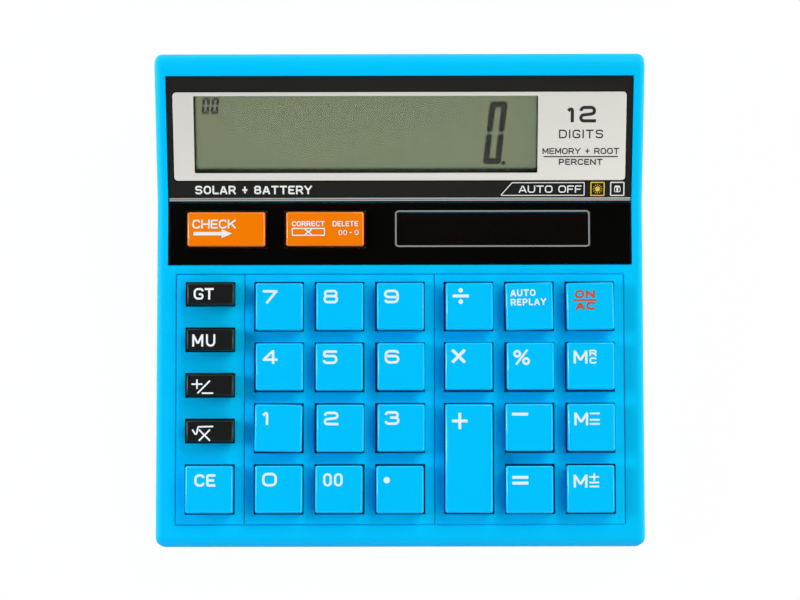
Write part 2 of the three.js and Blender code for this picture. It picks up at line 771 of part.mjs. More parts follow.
function lowerCase() {
  const shell = solid(caseBody(0)).subtract(solid(caseBody(wall))).intersect(solid(below(parting)));
  const bosses = caseScrews.map(({ x, y }) => column(x, y, lowerBossRadius, underside, parting, 14));
  const bay = [
    column(bayX, bayY, bayRadius + bayWall, underside + wall / 2, bayTop, 20),
    block(
      bayX - doorHalfWidth - doorTongue - 2,
      bayX + doorHalfWidth + doorTongue + 2,
      doorFrontY - 1.5,
      halfDepth - wall / 2,
      underside + wall / 2,
      railTop,
    ),
  ];
  const inside = join(bosses, bay, boardSupports(), lip()).intersect(solid(caseBody(wall / 2)));
  const screwWays = caseScrews.flatMap(({ x, y }) => [
    column(x, y, screwHeadRadius + insertGap, underside - 1, underside + screwSeat, 14),
    column(x, y, shankRadius + insertGap, underside, parting + 1, 12),
  ]);
  const footSinks = feet.map(({ x, y }) => column(x, y, footRadius + insertGap, underside - 1, underside + footSink, 20));
  const past = halfDepth + 1;
  const doorWay = [
    block(
      bayX - doorHalfWidth - fit,
      bayX + doorHalfWidth + fit,
      doorFrontY - fit,
      past,
      underside - 1,
      doorTop + fit,
    ),
    block(
      bayX - doorHalfWidth - doorTongue - fit,
      bayX + doorHalfWidth + doorTongue + fit,
      doorFrontY - fit,
      past,
      tongueBottom - fit,
      doorTop + fit,
    ),
    block(
      bayX - doorHalfWidth - fit,
      bayX + doorHalfWidth + fit,
      halfDepth - wall - fit,
      past,
      underside - 1,
      underside + doorUpstand + fit,
    ),
  ];
  const slotHalf = contactWidth / 2 + insertGap;
  const bayWays = [
    column(bayX, bayY, bayRadius, underside, bayCeiling, 20),
    block(
      bayX - cellRadius - contactStrip - 3 * insertGap,
      bayX - cellRadius + insertGap,
      bayY - slotHalf,
      bayY + slotHalf,
      doorTop,
      bayTop + 1,
    ),
    block(
      bayX + cellRadius - 1,
      bayX + bayRadius + bayWall + 1,
      bayY - slotHalf,
      bayY + slotHalf,
      leafBottom - insertGap,
      bayCeiling,
    ),
  ];
  return geometryOf(cut(shell.add(inside), screwWays, footSinks, doorWay, bayWays));
}

// ---------------------------------------------------------------- battery bay

// The door is cut from the outer body, so that it follows the rounded rear edge.
function batteryDoor() {
  const past = halfDepth + 1;
  const left = bayX - doorHalfWidth;
  const right = bayX + doorHalfWidth;
  const cover = join(
    block(left, right, doorFrontY, past, 0, doorTop),
    block(left, right, halfDepth - wall, past, 0, underside + doorUpstand),
    block(left - doorTongue, right + doorTongue, doorFrontY, halfDepth - wall - 1, tongueBottom, doorTop),
  );
  const grips = Array.from({ length: gripGrooves }, (_, index) => {
    const y = doorFrontY + 4 + index * gripPitch;
    return block(bayX - 5, bayX + 5, y, y + gripPitch / 2, 0, underside + 0.35);
  });
  return geometryOf(cut(solid(caseBody(0)).intersect(cover), grips));
}

function buttonCell() {
  const profile = [
    new THREE.Vector2(0, 0),
    new THREE.Vector2(cellRadius - 0.4, 0),
    new THREE.Vector2(cellRadius, 0.4),
    new THREE.Vector2(cellRadius, cellHeight - 0.6),
    new THREE.Vector2(cellRadius - 0.5, cellHeight - 0.3),
    new THREE.Vector2(cellRadius - 1, cellHeight - 0.3),
    new THREE.Vector2(cellRadius - 1.4, cellHeight),
    new THREE.Vector2(0, cellHeight),
  ];
  return new THREE.LatheGeometry(profile, 16).rotateX(Math.PI / 2);
}

// Bent metal strips, drawn as (x, z) in the bay's side view and as wide as the strip.
const frontView = new THREE.Matrix4().makeBasis(
  new THREE.Vector3(1, 0, 0),
  new THREE.Vector3(0, 0, 1),
  new THREE.Vector3(0, -1, 0),
);
function bentStrip(points) {
  const outline = new THREE.Shape(points.map(([x, z]) => new THREE.Vector2(x, z)));
  const geometry = new THREE.ExtrudeGeometry(outline, { depth: contactWidth, bevelEnabled: false });
  return geometry.applyMatrix4(frontView).translate(0, contactWidth / 2, 0);
}

const positiveX = -cellRadius - insertGap;
const positiveTab = 3;
function positiveContact() {
  const inner = positiveX;
  const outer = positiveX - contactStrip;
  return bentStrip([
    [outer, cellBottom + insertGap],
    [inner, cellBottom + insertGap],
    [inner, tabTop],
    [outer - positiveTab, tabTop],
    [outer - positiveTab, tabBottom],
    [outer, tabBottom],
  ]);
}

const negativeRiser = bayRadius + bayWall + insertGap;
const negativeTab = 3;
function negativeContact() {
  const inner = negativeRiser;
  const outer = negativeRiser + contactStrip;
  return bentStrip([
    [-cellRadius / 2, leafBottom],
    [outer, leafBottom],
    [outer, tabBottom],
    [outer + negativeTab, tabBottom],
    [outer + negativeTab, tabTop],
    [inner, tabTop],
    [inner, leafTop],
    [-cellRadius / 2, leafTop],
  ]);
}

// ---------------------------------------------------------------- screws and feet

function caseScrew() {
  const headBottom = underside + screwSeat - 0.2 - screwHeadHeight;
  const headTop = headBottom + screwHeadHeight;
  const tip = parting + screwBite;
  const profile = [
    new THREE.Vector2(0, headBottom),
    new THREE.Vector2(screwHeadRadius * 0.75, headBottom),
    new THREE.Vector2(screwHeadRadius, headBottom + screwHeadHeight / 2),
    new THREE.Vector2(screwHeadRadius, headTop),
    new THREE.Vector2(shankRadius, headTop),
    new THREE.Vector2(shankRadius, tip - 1.2),
    new THREE.Vector2(shankRadius / 3, tip),
    new THREE.Vector2(0, tip),
  ];
  const turned = new THREE.LatheGeometry(profile, 12).rotateX(Math.PI / 2);
  const crossHalf = screwHeadRadius * 0.6;
  const slotHalf = 0.3;
  const slotTop = headBottom + screwHeadHeight * 0.6;
  const cross = join(
    block(-crossHalf, crossHalf, -slotHalf, slotHalf, headBottom - 1, slotTop),
    block(-slotHalf, slotHalf, -crossHalf, crossHalf, headBottom - 1, slotTop),
  );
  return geometryOf(solid(turned).subtract(cross));
}

function rubberFoot() {
  const top = underside + footSink - fit;
  const profile = [
    new THREE.Vector2(0, 0),
    new THREE.Vector2(footRadius - 0.6, 0),
    new THREE.Vector2(footRadius, 0.6),
    new THREE.Vector2(footRadius, top),
    new THREE.Vector2(0, top),
  ];
  return new THREE.LatheGeometry(profile, 20).rotateX(Math.PI / 2);
}

// ---------------------------------------------------------------- pieces on the display slope

function displayBezel() {
  const body = solid(block(-panelHalf, panelHalf, bezelFront, bezelRear, bezelBottom, bezelTop));
  const pocket = plate(
    roundedRectangle(
      -plateHalf - seamGap,
      plateHalf + seamGap,
      plateFront - seamGap,
      plateRear + seamGap,
      plateRadius,
    ),
    plateBottom - fit,
    1,
  );
  const view = plate(roundedRectangle(viewLeft, viewRight, viewFront, viewRear, viewRadius), -wall * 2, 1);
  return geometryOf(cut(body, pocket, view));
}

function displayPlate() {
  const outline = roundedRectangle(-plateHalf, plateHalf, plateFront, plateRear, plateRadius);
  const view = roundedRectangle(viewLeft, viewRight, viewFront, viewRear, viewRadius);
  return geometryOf(cut(solid(plate(outline, plateBottom, plateTop)), plate(view, -wall, 1)));
}

function displayWindow() {
  return block(
    viewLeft - windowLedge,
    viewRight + windowLedge,
    viewFront - windowLedge,
    viewRear + windowLedge,
    windowBottom,
    windowTop,
  );
}

// Two sheets of glass, the rear one longer by the ledge that carries the contacts.
function crystalPanel() {
  return geometryOf(
    join(
      block(glassLeft, glassRight, frontSheetEdge, glassRear, glassStep, glassTop),
      block(glassLeft, glassRight, glassFront, glassRear, glassBottom, glassStep),
    ),
  );
}

function trimStrip() {
  const top = -panelSink / 2;
  return block(-panelHalf, panelHalf, 0, trimDepth, top - trimThickness, top);
}

// The ribbon lies on the contact ledge, bends down past the glass and lies on the board's rear edge.
function ribbonCable() {
  const halfThick = 0.12;
  const ledgeLift = glassStep + fit + halfThick;
  const boardLift = boardTop + fit + halfThick;
  const display = (t, level) => new THREE.Vector3(0, t, level).applyMatrix4(displayFrame);
  const deck = (t, level) => new THREE.Vector3(0, -t, level).applyMatrix4(deckFrame);
  const route = new THREE.CatmullRomCurve3([
    display(frontSheetEdge - fit, ledgeLift),
    display(glassFront + 0.4, ledgeLift),
    display(glassFront - 1, ledgeLift - 0.4),
    deck(-boardRearEdge - 0.8, boardLift + 0.9),
    deck(-boardRearEdge + 0.6, boardLift + 0.05),
    deck(2.2, boardLift),
  ]);
  const steps = 14;
  const upper = [];
  const lower = [];
  for (let index = 0; index <= steps; index += 1) {
    const point = route.getPoint(index / steps);
    const tangent = route.getTangent(index / steps);
    const side = new THREE.Vector2(-tangent.z, tangent.y).normalize().multiplyScalar(halfThick);
    upper.push(new THREE.Vector2(point.y + side.x, point.z + side.y));
    lower.unshift(new THREE.Vector2(point.y - side.x, point.z - side.y));
  }
  const half = viewWidth / 3;
  const centre = (viewLeft + viewRight) / 2;
  return sidePrism(new THREE.Shape([...upper, ...lower]), centre - half, centre + half);
}

// ---------------------------------------------------------------- pieces on the key deck

function controlPanel() {
  const body = solid(block(-panelHalf, panelHalf, -panelFront, -panelRear, panelBottom, -panelSink));
  const ways = checkKeys.map(keyWell);
  const window = block(
    solarLeft,
    solarRight,
    -controlRow - checkKeyDepth / 2,
    -controlRow + checkKeyDepth / 2,
    -wall * 2,
    1,
  );
  return geometryOf(cut(body, ways, window));
}

function solarWindow() {
  return block(
    solarLeft + seamGap,
    solarRight - seamGap,
    -controlRow - checkKeyDepth / 2 + seamGap,
    -controlRow + checkKeyDepth / 2 - seamGap,
    panelBottom,
    -panelSink,
  );
}

function solarCell() {
  const border = solarLedge + insertGap;
  return block(
    solarLeft + border,
    solarRight - border,
    -controlRow - checkKeyDepth / 2 + border,
    -controlRow + checkKeyDepth / 2 - border,
    panelBottom - fit - solarCellThickness,
    panelBottom - fit,
  );
}

const boardHalf = outerColumn + capSize / 2;
const boardFront = lastRow + capSize / 2;
const allKeys = [...deckKeys, ...smallKeys, ...checkKeys];
const stakeHoles = (z0, z1) => stakes.map(([x, t]) => column(x, -t, stakeRadius + insertGap, z0, z1, 10));

// The rubber mat: a web with one hollow dome under each key, and a tab under the orange keys.
function keyMat() {
  const tabRight = checkColumns[1] + checkKeyWidth / 2 + keyClearance;
  const web = [
    block(-boardHalf, boardHalf, -boardFront, -rows[0] + capSize / 2, matBottom, matTop),
    block(
      -boardHalf,
      tabRight,
      -rows[0] + capSize / 2 - 1,
      -controlRow + domeBase + 1,
      matBottom,
      matTop,
    ),
  ];
  const domes = allKeys.map(({ x, t }) =>
    column(x, -t, domeBase, matTop - matWeb / 2, matTop + domeHeight, 8, domeTop),
  );
  const hollows = allKeys.map(({ x, t }) =>
    column(
      x,
      -t,
      domeBase - domeSkin / 2,
      matBottom - matWeb / 2,
      matTop + domeHeight - domeSkin,
      6,
      domeTop - domeSkin / 2,
    ),
  );
  return geometryOf(cut(join(web, domes), hollows, stakeHoles(matBottom - 1, matTop + 1)));
}

function circuitBoard() {
  const outline = solid(block(-boardHalf, boardHalf, -boardFront, boardRearEdge, boardBottom, boardTop));
  return geometryOf(cut(outline, stakeHoles(boardBottom - 1, boardTop + 1)));
}

// A drop of black epoxy over the chip, on the underside of the board.
function chipBlob() {
  const top = boardBottom - fit;
  const arc = 4;
  const profile = Array.from({ length: arc + 1 }, (_, index) => {
    const angle = (index / arc) * (Math.PI / 2);
    return new THREE.Vector2(chipRadius * Math.sin(angle), top - chipHeight * Math.cos(angle));
  });
  profile.push(new THREE.Vector2(0, top));
  return new THREE.LatheGeometry(profile, 16).rotateX(Math.PI / 2);
}

// ---------------------------------------------------------------- leads

// A round lead along a smooth curve through its points.
function lead(points, steps) {
  const curve = new THREE.CatmullRomCurve3(points.map(([x, y, z]) => new THREE.Vector3(x, y, z)));
  const section = new THREE.Shape();
  section.absarc(0, 0, wireRadius, 0, 2 * Math.PI);
  return new THREE.ExtrudeGeometry(section, { steps, curveSegments: 4, extrudePath: curve });
}

// The solar cell's leads, in the deck group: from the back of the cell down to the board.
const solarLeadLevel = panelBottom - 2 * fit - solarCellThickness - wireRadius;
const boardLeadLevel = boardTop + fit + wireRadius;
const solarLead = (shift) => [
  [solarRight - 10, -controlRow + shift, solarLeadLevel],
  [solarRight - 6.5, -controlRow + shift, solarLeadLevel - 0.1],
  [solarRight - 4.6, -controlRow + shift, solarLeadLevel - 0.8],
  [solarRight - 4.9, -controlRow + shift, boardLeadLevel + 0.3],
  [solarRight - 7, -controlRow + shift, boardLeadLevel],
  [solarRight - 9, -controlRow + shift, boardLeadLevel],
];

// The cell's leads: from the contact tabs forward, and up under the rear edge of the board.
const leadSag = tabTop - 1.5;
const batteryLead = (x, shift) => [
  [x, bayY + 1, tabTop + fit + wireRadius],
  [x, bayY - 3, tabTop + fit + wireRadius],
  [x + shift / 3, bayY - 8, leadSag + 1],
  [x + (2 * shift) / 3, bayY - 14, leadSag],
  [x + shift, creaseY - 1, leadSag + 0.4],
  [x + shift, creaseY - 3.5, deckHeight(creaseY - 3.5, boardBottom - fit) - wireRadius - 0.05],
  [x + shift, creaseY - 7, deckHeight(creaseY - 7, boardBottom - fit) - wireRadius - 0.05],
];

// ---------------------------------------------------------------- assembly

const calculator = new THREE.Group();
const deck = new THREE.Group();
deck.position.set(0, creaseY, creaseZ);
deck.rotation.x = deckSlope;
const display = new THREE.Group();
display.position.set(0, creaseY, creaseZ);
display.rotation.x = displaySlope;
calculator.add(deck, display);

function place(group, name, geometry, material, x = 0, y = 0, z = 0) {
  const mesh = new THREE.Mesh(geometry, material);
  mesh.name = name;
  mesh.position.set(x, y, z);
  group.add(mesh);
}

place(calculator, 'upper_case', upperCase(), blueAbs);
place(calculator, 'lower_case', lowerCase(), blueAbsLower);

place(display, 'display_bezel', displayBezel(), blackAcrylic);
place(display, 'display_frame', displayPlate(), satinAluminium);
place(display, 'display_window', displayWindow(), clearAcrylic);
place(display, 'trim_strip', trimStrip(), greyTrim);
place(display, 'lcd_panel', crystalPanel(), liquidCrystal);
place(calculator, 'lcd_ribbon', ribbonCable(), ribbonFilm);

place(deck, 'control_panel', controlPanel(), blackAcrylic);
place(deck, 'solar_window', solarWindow(), smokedAcrylic);
place(deck, 'solar_cell', solarCell(), siliconCell);
place(deck, 'solar_wire_red', lead(solarLead(1.5), 10), redVinyl);
place(deck, 'solar_wire_black', lead(solarLead(-1.5), 10), blackVinyl);
place(deck, 'key_mat', keyMat(), greyRubber);
place(deck, 'circuit_board', circuitBoard(), greenBoard);
place(deck, 'chip_blob', chipBlob(), blackEpoxy, (columns[4] + dividers[1]) / 2 + 3, -(rows[1] + rows[2]) / 2);

const bigCap = keyCap(capSize, capSize, capHeight, flangeTop);
deckKeys.forEach(({ name, x, t, width, depth }) => {
  const geometry = depth > capSize ? keyCap(width, depth, capHeight, flangeTop) : bigCap;
  place(deck, name, geometry, blueAbs, x, -t);
});
const smallCap = keyCap(capSize, smallCapDepth, capHeight, flangeTop);
smallKeys.forEach(({ name, x, t }) => place(deck, name, smallCap, blackAbs, x, -t));
const checkCap = keyCap(checkKeyWidth, checkKeyDepth, checkKeyHeight, checkFlangeTop);
checkKeys.forEach(({ name, x, t }) => place(deck, name, checkCap, orangeAbs, x, -t));

place(calculator, 'battery_cell', buttonCell(), nickelSteel, bayX, bayY, cellBottom);
place(calculator, 'battery_contact_positive', positiveContact(), nickelSteel, bayX, bayY);
place(calculator, 'battery_contact_negative', negativeContact(), nickelSteel, bayX, bayY);
place(
  calculator,
  'battery_wire_red',
  lead(batteryLead(bayX + positiveX - contactStrip - positiveTab / 2, -2), 14),
  redVinyl,
);
place(
  calculator,
  'battery_wire_black',
  lead(batteryLead(bayX + negativeRiser + contactStrip + negativeTab / 2, -3), 14),
  blackVinyl,
);
place(calculator, 'battery_door', batteryDoor(), blueAbsLower);

const screw = caseScrew();
caseScrews.forEach(({ name, x, y }) => place(calculator, name, screw, nickelSteel, x, y));
const foot = rubberFoot();
feet.forEach(({ name, x, y }) => place(calculator, name, foot, blackRubber, x, y));

export default calculator;
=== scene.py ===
import json
import math
import random

import bmesh
import bpy
from mathutils import Matrix, Vector

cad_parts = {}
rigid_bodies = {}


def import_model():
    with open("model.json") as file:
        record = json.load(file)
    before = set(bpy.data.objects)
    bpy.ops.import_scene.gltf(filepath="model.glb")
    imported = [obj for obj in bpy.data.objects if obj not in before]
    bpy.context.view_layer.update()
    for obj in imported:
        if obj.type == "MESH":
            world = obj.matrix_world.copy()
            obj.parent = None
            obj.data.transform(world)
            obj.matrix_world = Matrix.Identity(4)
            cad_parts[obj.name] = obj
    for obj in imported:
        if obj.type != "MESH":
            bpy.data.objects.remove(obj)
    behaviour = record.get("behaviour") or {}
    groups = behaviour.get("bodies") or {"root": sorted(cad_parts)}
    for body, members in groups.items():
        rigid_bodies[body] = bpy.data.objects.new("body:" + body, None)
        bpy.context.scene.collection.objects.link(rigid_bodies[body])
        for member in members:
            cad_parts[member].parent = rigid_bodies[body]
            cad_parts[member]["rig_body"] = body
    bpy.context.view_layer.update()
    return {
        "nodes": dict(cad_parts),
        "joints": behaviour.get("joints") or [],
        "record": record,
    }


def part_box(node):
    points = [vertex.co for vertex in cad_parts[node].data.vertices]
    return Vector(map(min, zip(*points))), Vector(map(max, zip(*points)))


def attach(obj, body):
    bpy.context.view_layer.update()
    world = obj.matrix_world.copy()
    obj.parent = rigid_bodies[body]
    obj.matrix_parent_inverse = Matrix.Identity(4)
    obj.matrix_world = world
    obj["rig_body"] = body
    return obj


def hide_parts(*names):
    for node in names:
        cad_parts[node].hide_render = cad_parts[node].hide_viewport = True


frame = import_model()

scene = bpy.context.scene
MM = 0.001

# ---------------- the two slopes
# The calculator's face is two flat slopes that meet in a crease: the key deck and the display.
# Every piece on the face is laid out in one of two frames that start in the crease, with x to the
# right, y to the rear along the slope and z square to it. The crease is found from the trim strip
# that covers it, and the deck's slope from the way its keys slide.

DISPLAY_SLOPE = math.radians(21.5)
key_axis = next(joint["axis"] for joint in frame["joints"] if joint["child"] == "key_5")
DECK_SLOPE = math.asin(key_axis[1])
TRIM_TOP = -0.2 * MM
TRIM_THICKNESS = 1.4 * MM
trim_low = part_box("trim_strip")[0]
crease = Vector((
    0,
    trim_low.y + TRIM_TOP * math.sin(DISPLAY_SLOPE),
    trim_low.z - (TRIM_TOP - TRIM_THICKNESS) * math.cos(DISPLAY_SLOPE),
))
deck = Matrix.Translation(crease) @ Matrix.Rotation(DECK_SLOPE, 4, "X")
display = Matrix.Translation(crease) @ Matrix.Rotation(DISPLAY_SLOPE, 4, "X")


def local_box(node, slope):
    """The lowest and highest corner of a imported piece, measured in one of the two frames."""
    points = [slope.inverted() @ vertex.co for vertex in frame["nodes"][node].data.vertices]
    low = Vector(min(point[axis] for point in points) for axis in range(3))
    high = Vector(max(point[axis] for point in points) for axis in range(3))
    return low, high


# ---------------- camera and studio
# A calculator is shown from almost straight above, from slightly in front of square to the keys,
# with a long lens. Two softboxes stand at the right, rear and front, and a white room fills in.


def in_scene(name, data):
    """A new object in the scene, at the origin."""
    made = bpy.data.objects.new(name, data)
    scene.collection.objects.link(made)
    return made


CAMERA_LEAN = math.radians(9.25)
CAMERA_ROLL = math.radians(-0.1)
CAMERA_DISTANCE = 0.600
CAMERA_ASIDE = -0.15 * MM
CREASE_ABOVE_CENTRE = 25.97 * MM
FILM_WIDTH, FOCAL_LENGTH = 36, 101.65
FARTHEST_SEEN = 20
toward_camera = Vector((0, -math.sin(CAMERA_LEAN), math.cos(CAMERA_LEAN)))
down_in_view = Vector((0, -math.cos(CAMERA_LEAN), -math.sin(CAMERA_LEAN)))
camera = in_scene("camera", bpy.data.cameras.new("camera"))
camera.data.sensor_width = FILM_WIDTH
camera.data.lens = FOCAL_LENGTH
camera.data.clip_end = FARTHEST_SEEN
camera.location = crease + toward_camera * CAMERA_DISTANCE + down_in_view * CREASE_ABOVE_CENTRE
camera.location.x = CAMERA_ASIDE
camera.rotation_euler = (CAMERA_LEAN, 0, CAMERA_ROLL)
scene.camera = camera
scene.view_settings.view_transform = "Standard"


def linear(hex_colour):
    """An sRGB hex colour as linear red, green, blue and alpha."""
    channels = [int(hex_colour[start:start + 2], 16) / 255 for start in (0, 2, 4)]
    return [c / 12.92 if c <= 0.04045 else ((c + 0.055) / 1.055) ** 2.4 for c in channels] + [1]


def add(tree, kind, inputs, **settings):
    """Adds a node. Each input is a plain value, or a node or output socket to link from."""
    node = tree.nodes.new(kind)
    for name, value in settings.items():
        setattr(node, name, value)
    for name, value in inputs.items():
        if isinstance(value, bpy.types.Node):
            value = value.outputs[0]
        if isinstance(value, bpy.types.NodeSocket):
            tree.links.new(value, node.inputs[name])
        else:
            node.inputs[name].default_value = value
    return node


def empty_material(name):
    """A material without a node, and its tree."""
    material = bpy.data.materials.new(name)
    material.use_nodes = True
    material.node_tree.nodes.clear()
    return material, material.node_tree


def seen_directly(tree):
    """One for a ray from the camera, a mirror or clear glass, nought for a ray that lights."""
    rays = add(tree, "ShaderNodeLightPath", {}).outputs
    seen = add(tree, "ShaderNodeMath", {0: rays["Is Camera Ray"], 1: rays["Is Glossy Ray"]},
               operation="MAXIMUM")
    return add(tree, "ShaderNodeMath", {0: seen, 1: rays["Is Transmission Ray"]},
               operation="MAXIMUM")


# The room: white where it is seen or mirrored. As a lamp it is bluish and brighter at the sides
# than overhead, where the camera and its dark ceiling are. The left side is brightest.
ROOM_COLOUR = "b4c2ff"
ROOM_SIDES, ROOM_CEILING = 2.42, 0.05
ROOM_FALL = 0.3
ROOM_REAR, ROOM_LEFT = 0.1, 0.4
world = bpy.data.worlds.new("white_room")
scene.world = world
world.use_nodes = True
world.cycles.sampling_method = "NONE"
room = world.node_tree
room.nodes.clear()
way = add(room, "ShaderNodeNewGeometry", {}).outputs["Incoming"]
ways = add(room, "ShaderNodeSeparateXYZ", {"Vector": way}).outputs
height = add(room, "ShaderNodeMath", {0: ways["Z"]}, operation="ABSOLUTE")
steep = add(room, "ShaderNodeMath", {0: height, 1: ROOM_FALL}, operation="POWER")
level = add(room, "ShaderNodeMapRange",
            {"Value": steep, "To Min": ROOM_SIDES, "To Max": ROOM_CEILING})
for axis, dim_end, share in (("Y", 1.0, ROOM_REAR), ("X", -1.0, ROOM_LEFT)):
    by_side = add(room, "ShaderNodeMapRange",
                  {"Value": ways[axis], "From Min": dim_end, "From Max": -dim_end,
                   "To Min": 1 - share, "To Max": 1 + share})
    level = add(room, "ShaderNodeMath", {0: level, 1: by_side}, operation="MULTIPLY")
room_lamp = add(room, "ShaderNodeBackground", {"Color": linear(ROOM_COLOUR), "Strength": level})
room_seen = add(room, "ShaderNodeBackground", {"Color": (1, 1, 1, 1), "Strength": 1})
room_mix = add(room, "ShaderNodeMixShader", {0: seen_directly(room), 1: room_lamp, 2: room_seen})
add(room, "ShaderNodeOutputWorld", {"Surface": room_mix})

# The lamps: two softboxes on the right, the stronger behind and the weaker in front, so that the
# keys shade the deck between two rows from both sides. Three low reflectors light the outer edges.


def lamp(name, direction, distance, width, height, watts, hex_colour):
    """A flat lamp that faces the crease from a direction. Distance, width and height in metres."""
    direction = Vector(direction).normalized()
    light = bpy.data.lights.new(name, "AREA")
    light.shape = "RECTANGLE"
    light.size = width
    light.size_y = height
    light.energy = watts
    light.color = linear(hex_colour)[:3]
    made = in_scene(name, light)
    made.location = crease + direction * distance
    made.rotation_euler = direction.to_track_quat("Z", "Y").to_euler()


lamp("rear_softbox", (0.56, 0.64, 0.62), 2.0, 1.6, 0.9, 29.8, "fffee0")
lamp("front_softbox", (0.72, -0.64, 0.56), 2.0, 1.1, 0.9, 13.5, "fffee0")
lamp("left_reflector", (-0.93, 0.05, 0.36), 1.2, 0.5, 0.5, 13, "dcf0ff")
lamp("front_reflector", (0.0, -0.94, 0.34), 1.4, 0.9, 0.3, 2.5, "e6f2ff")
lamp("right_reflector", (0.95, 0.0, 0.3), 1.2, 0.5, 0.3, 2.5, "e6f2ff")

# Black cards that only mirrors see: the ceiling behind the camera, which the polished level faces
# mirror, and an apron and a mat in front, which keep the front edges from flashing white.
CLOTH_BLACK = (0.004, 0.004, 0.004, 1)
black_cloth, tree = empty_material("black_cloth")
cloth = add(tree, "ShaderNodeBsdfDiffuse", {"Color": CLOTH_BLACK})
add(tree, "ShaderNodeOutputMaterial", {"Surface": cloth})


def rectangle(half, low, high):
    """Four corners, as far to the left as to the right, anticlockwise."""
    return [(-half, low), (half, low), (half, high), (-half, high)]


def sheet(name, corners, material):
    """A flat sheet of the studio, by its four corners."""
    mesh = bpy.data.meshes.new(name)
    mesh.from_pydata(corners, [], [(0, 1, 2, 3)])
    mesh.materials.append(material)
    return in_scene(name, mesh)


def mirrored_card(name, corners):
    """A black card that shows in mirror images and nowhere else."""
    card = sheet(name, corners, black_cloth)
    for sight in ("camera", "diffuse", "transmission", "shadow"):
        setattr(card, "visible_" + sight, False)


CEILING_HEIGHT = 1.1
CEILING_HALF, CEILING_FRONT = 0.6, -0.4
ceiling = reversed(rectangle(CEILING_HALF, CEILING_FRONT, CEILING_HALF))
mirrored_card("dark_ceiling", [(x, y, CEILING_HEIGHT) for x, y in ceiling])
APRON_Y = -0.3
APRON_HALF, APRON_TOP = 0.5, 0.2
mirrored_card("dark_apron", [(x, APRON_Y, z) for x, z in rectangle(APRON_HALF, 0, APRON_TOP)])
MAT_REAR = -0.066
MAT_HEIGHT = 0.2 * MM
mat = rectangle(APRON_HALF, APRON_Y, MAT_REAR)
mirrored_card("dark_mat", [(x, y, MAT_HEIGHT) for x, y in mat])

# The floor: a white sweep that keeps a faint shadow of the object.
FLOOR_HALF = 3.0
PAPER_GLOW = 0.975
PAPER_WHITE = (0.9, 0.9, 0.9, 1)
paper, tree = empty_material("white_paper_sweep")
glow = add(tree, "ShaderNodeMath", {0: seen_directly(tree), 1: PAPER_GLOW}, operation="MULTIPLY")
matt = add(tree, "ShaderNodeBsdfDiffuse", {"Color": PAPER_WHITE})
lit = add(tree, "ShaderNodeEmission", {"Color": (1, 1, 1, 1), "Strength": 1})
surface = add(tree, "ShaderNodeMixShader", {0: glow, 1: matt, 2: lit})
add(tree, "ShaderNodeOutputMaterial", {"Surface": surface})
floor_corners = rectangle(FLOOR_HALF, -FLOOR_HALF, FLOOR_HALF)
floor = sheet("floor", [(x, y, 0) for x, y in floor_corners], paper)

# ---------------- upper and lower case
# Two injection-moulded ABS shells, coloured through, with a fine spark-eroded grain. The moulder's
# tool leaves every edge with a small round, which catches the light along the panels and wells.


def patterned_material(name):
    """A material with only the coordinates of its piece, its tree and those coordinates."""
    material, tree = empty_material(name)
    return material, tree, add(tree, "ShaderNodeTexCoord", {}).outputs["Object"]


def moulded_abs(name, hex_colour, roughness, sheen_colour, grain=0.12, polish=0.0):
    """Moulded ABS, coloured through: an even body colour, a soft sheen and a fine eroded grain.

    The real grain is about 0.05 mm and would vanish in a render, so it is drawn at 0.18 mm. Where
    the tool was polished the skin is glossier, so that the rounded edges mirror the room.
    """
    material, tree, place = patterned_material(name)
    grain_size = 0.18 * MM
    eroded = add(tree, "ShaderNodeTexNoise",
                 {"Vector": place, "Scale": 1 / grain_size, "Detail": 2})
    flow_size = 35 * MM
    flow = add(tree, "ShaderNodeTexNoise", {"Vector": place, "Scale": 1 / flow_size, "Detail": 1})
    shade = add(tree, "ShaderNodeMapRange", {"Value": flow, "To Min": 0.97, "To Max": 1.03})
    colour = add(tree, "ShaderNodeMix",
                 {"Factor": 1, 6: linear(hex_colour), 7: shade},
                 data_type="RGBA", blend_type="MULTIPLY")
    sheen = add(tree, "ShaderNodeMapRange",
                {"Value": eroded, "To Min": roughness - 0.05, "To Max": roughness + 0.05})
    relief = add(tree, "ShaderNodeBump",
                 {"Height": eroded, "Strength": grain, "Distance": 0.02 * MM})
    plastic = add(tree, "ShaderNodeBsdfPrincipled",
                  {"Base Color": colour.outputs[2], "Roughness": sheen,
                   "Normal": relief, "IOR": 1.53, "Specular Tint": linear(sheen_colour),
                   "Coat Weight": polish, "Coat Roughness": 0.08, "Coat IOR": 1.6})
    add(tree, "ShaderNodeOutputMaterial", {"Surface": plastic})
    return material


WELD_WITHIN = 0.002 * MM
FLAT_WITHIN = math.radians(0.6)
EDGE_FROM = math.radians(32)


def softened_copy(node, name, material, edge, segments, shift=Matrix.Identity(4)):
    """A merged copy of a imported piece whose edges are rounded, standing for that piece."""
    source = frame["nodes"][node]
    mesh = bpy.data.meshes.new(name)
    shape = bmesh.new()
    shape.from_mesh(source.data)
    bmesh.ops.remove_doubles(shape, verts=shape.verts, dist=WELD_WITHIN)
    bmesh.ops.dissolve_limit(shape, angle_limit=FLAT_WITHIN, verts=shape.verts, edges=shape.edges)
    shape.transform(shift)
    shape.to_mesh(mesh)
    shape.free()
    piece = in_scene(name, mesh)
    mesh.materials.append(material)
    mesh.shade_smooth()
    if edge:
        rounding = piece.modifiers.new("edge_rounding", "BEVEL")
        rounding.width = edge
        rounding.segments = segments
        rounding.limit_method = "ANGLE"
        rounding.angle_limit = EDGE_FROM
        rounding.harden_normals = True
    mesh.set_sharp_from_angle(angle=EDGE_FROM)
    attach(piece, source["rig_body"])
    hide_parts(node)
    return piece


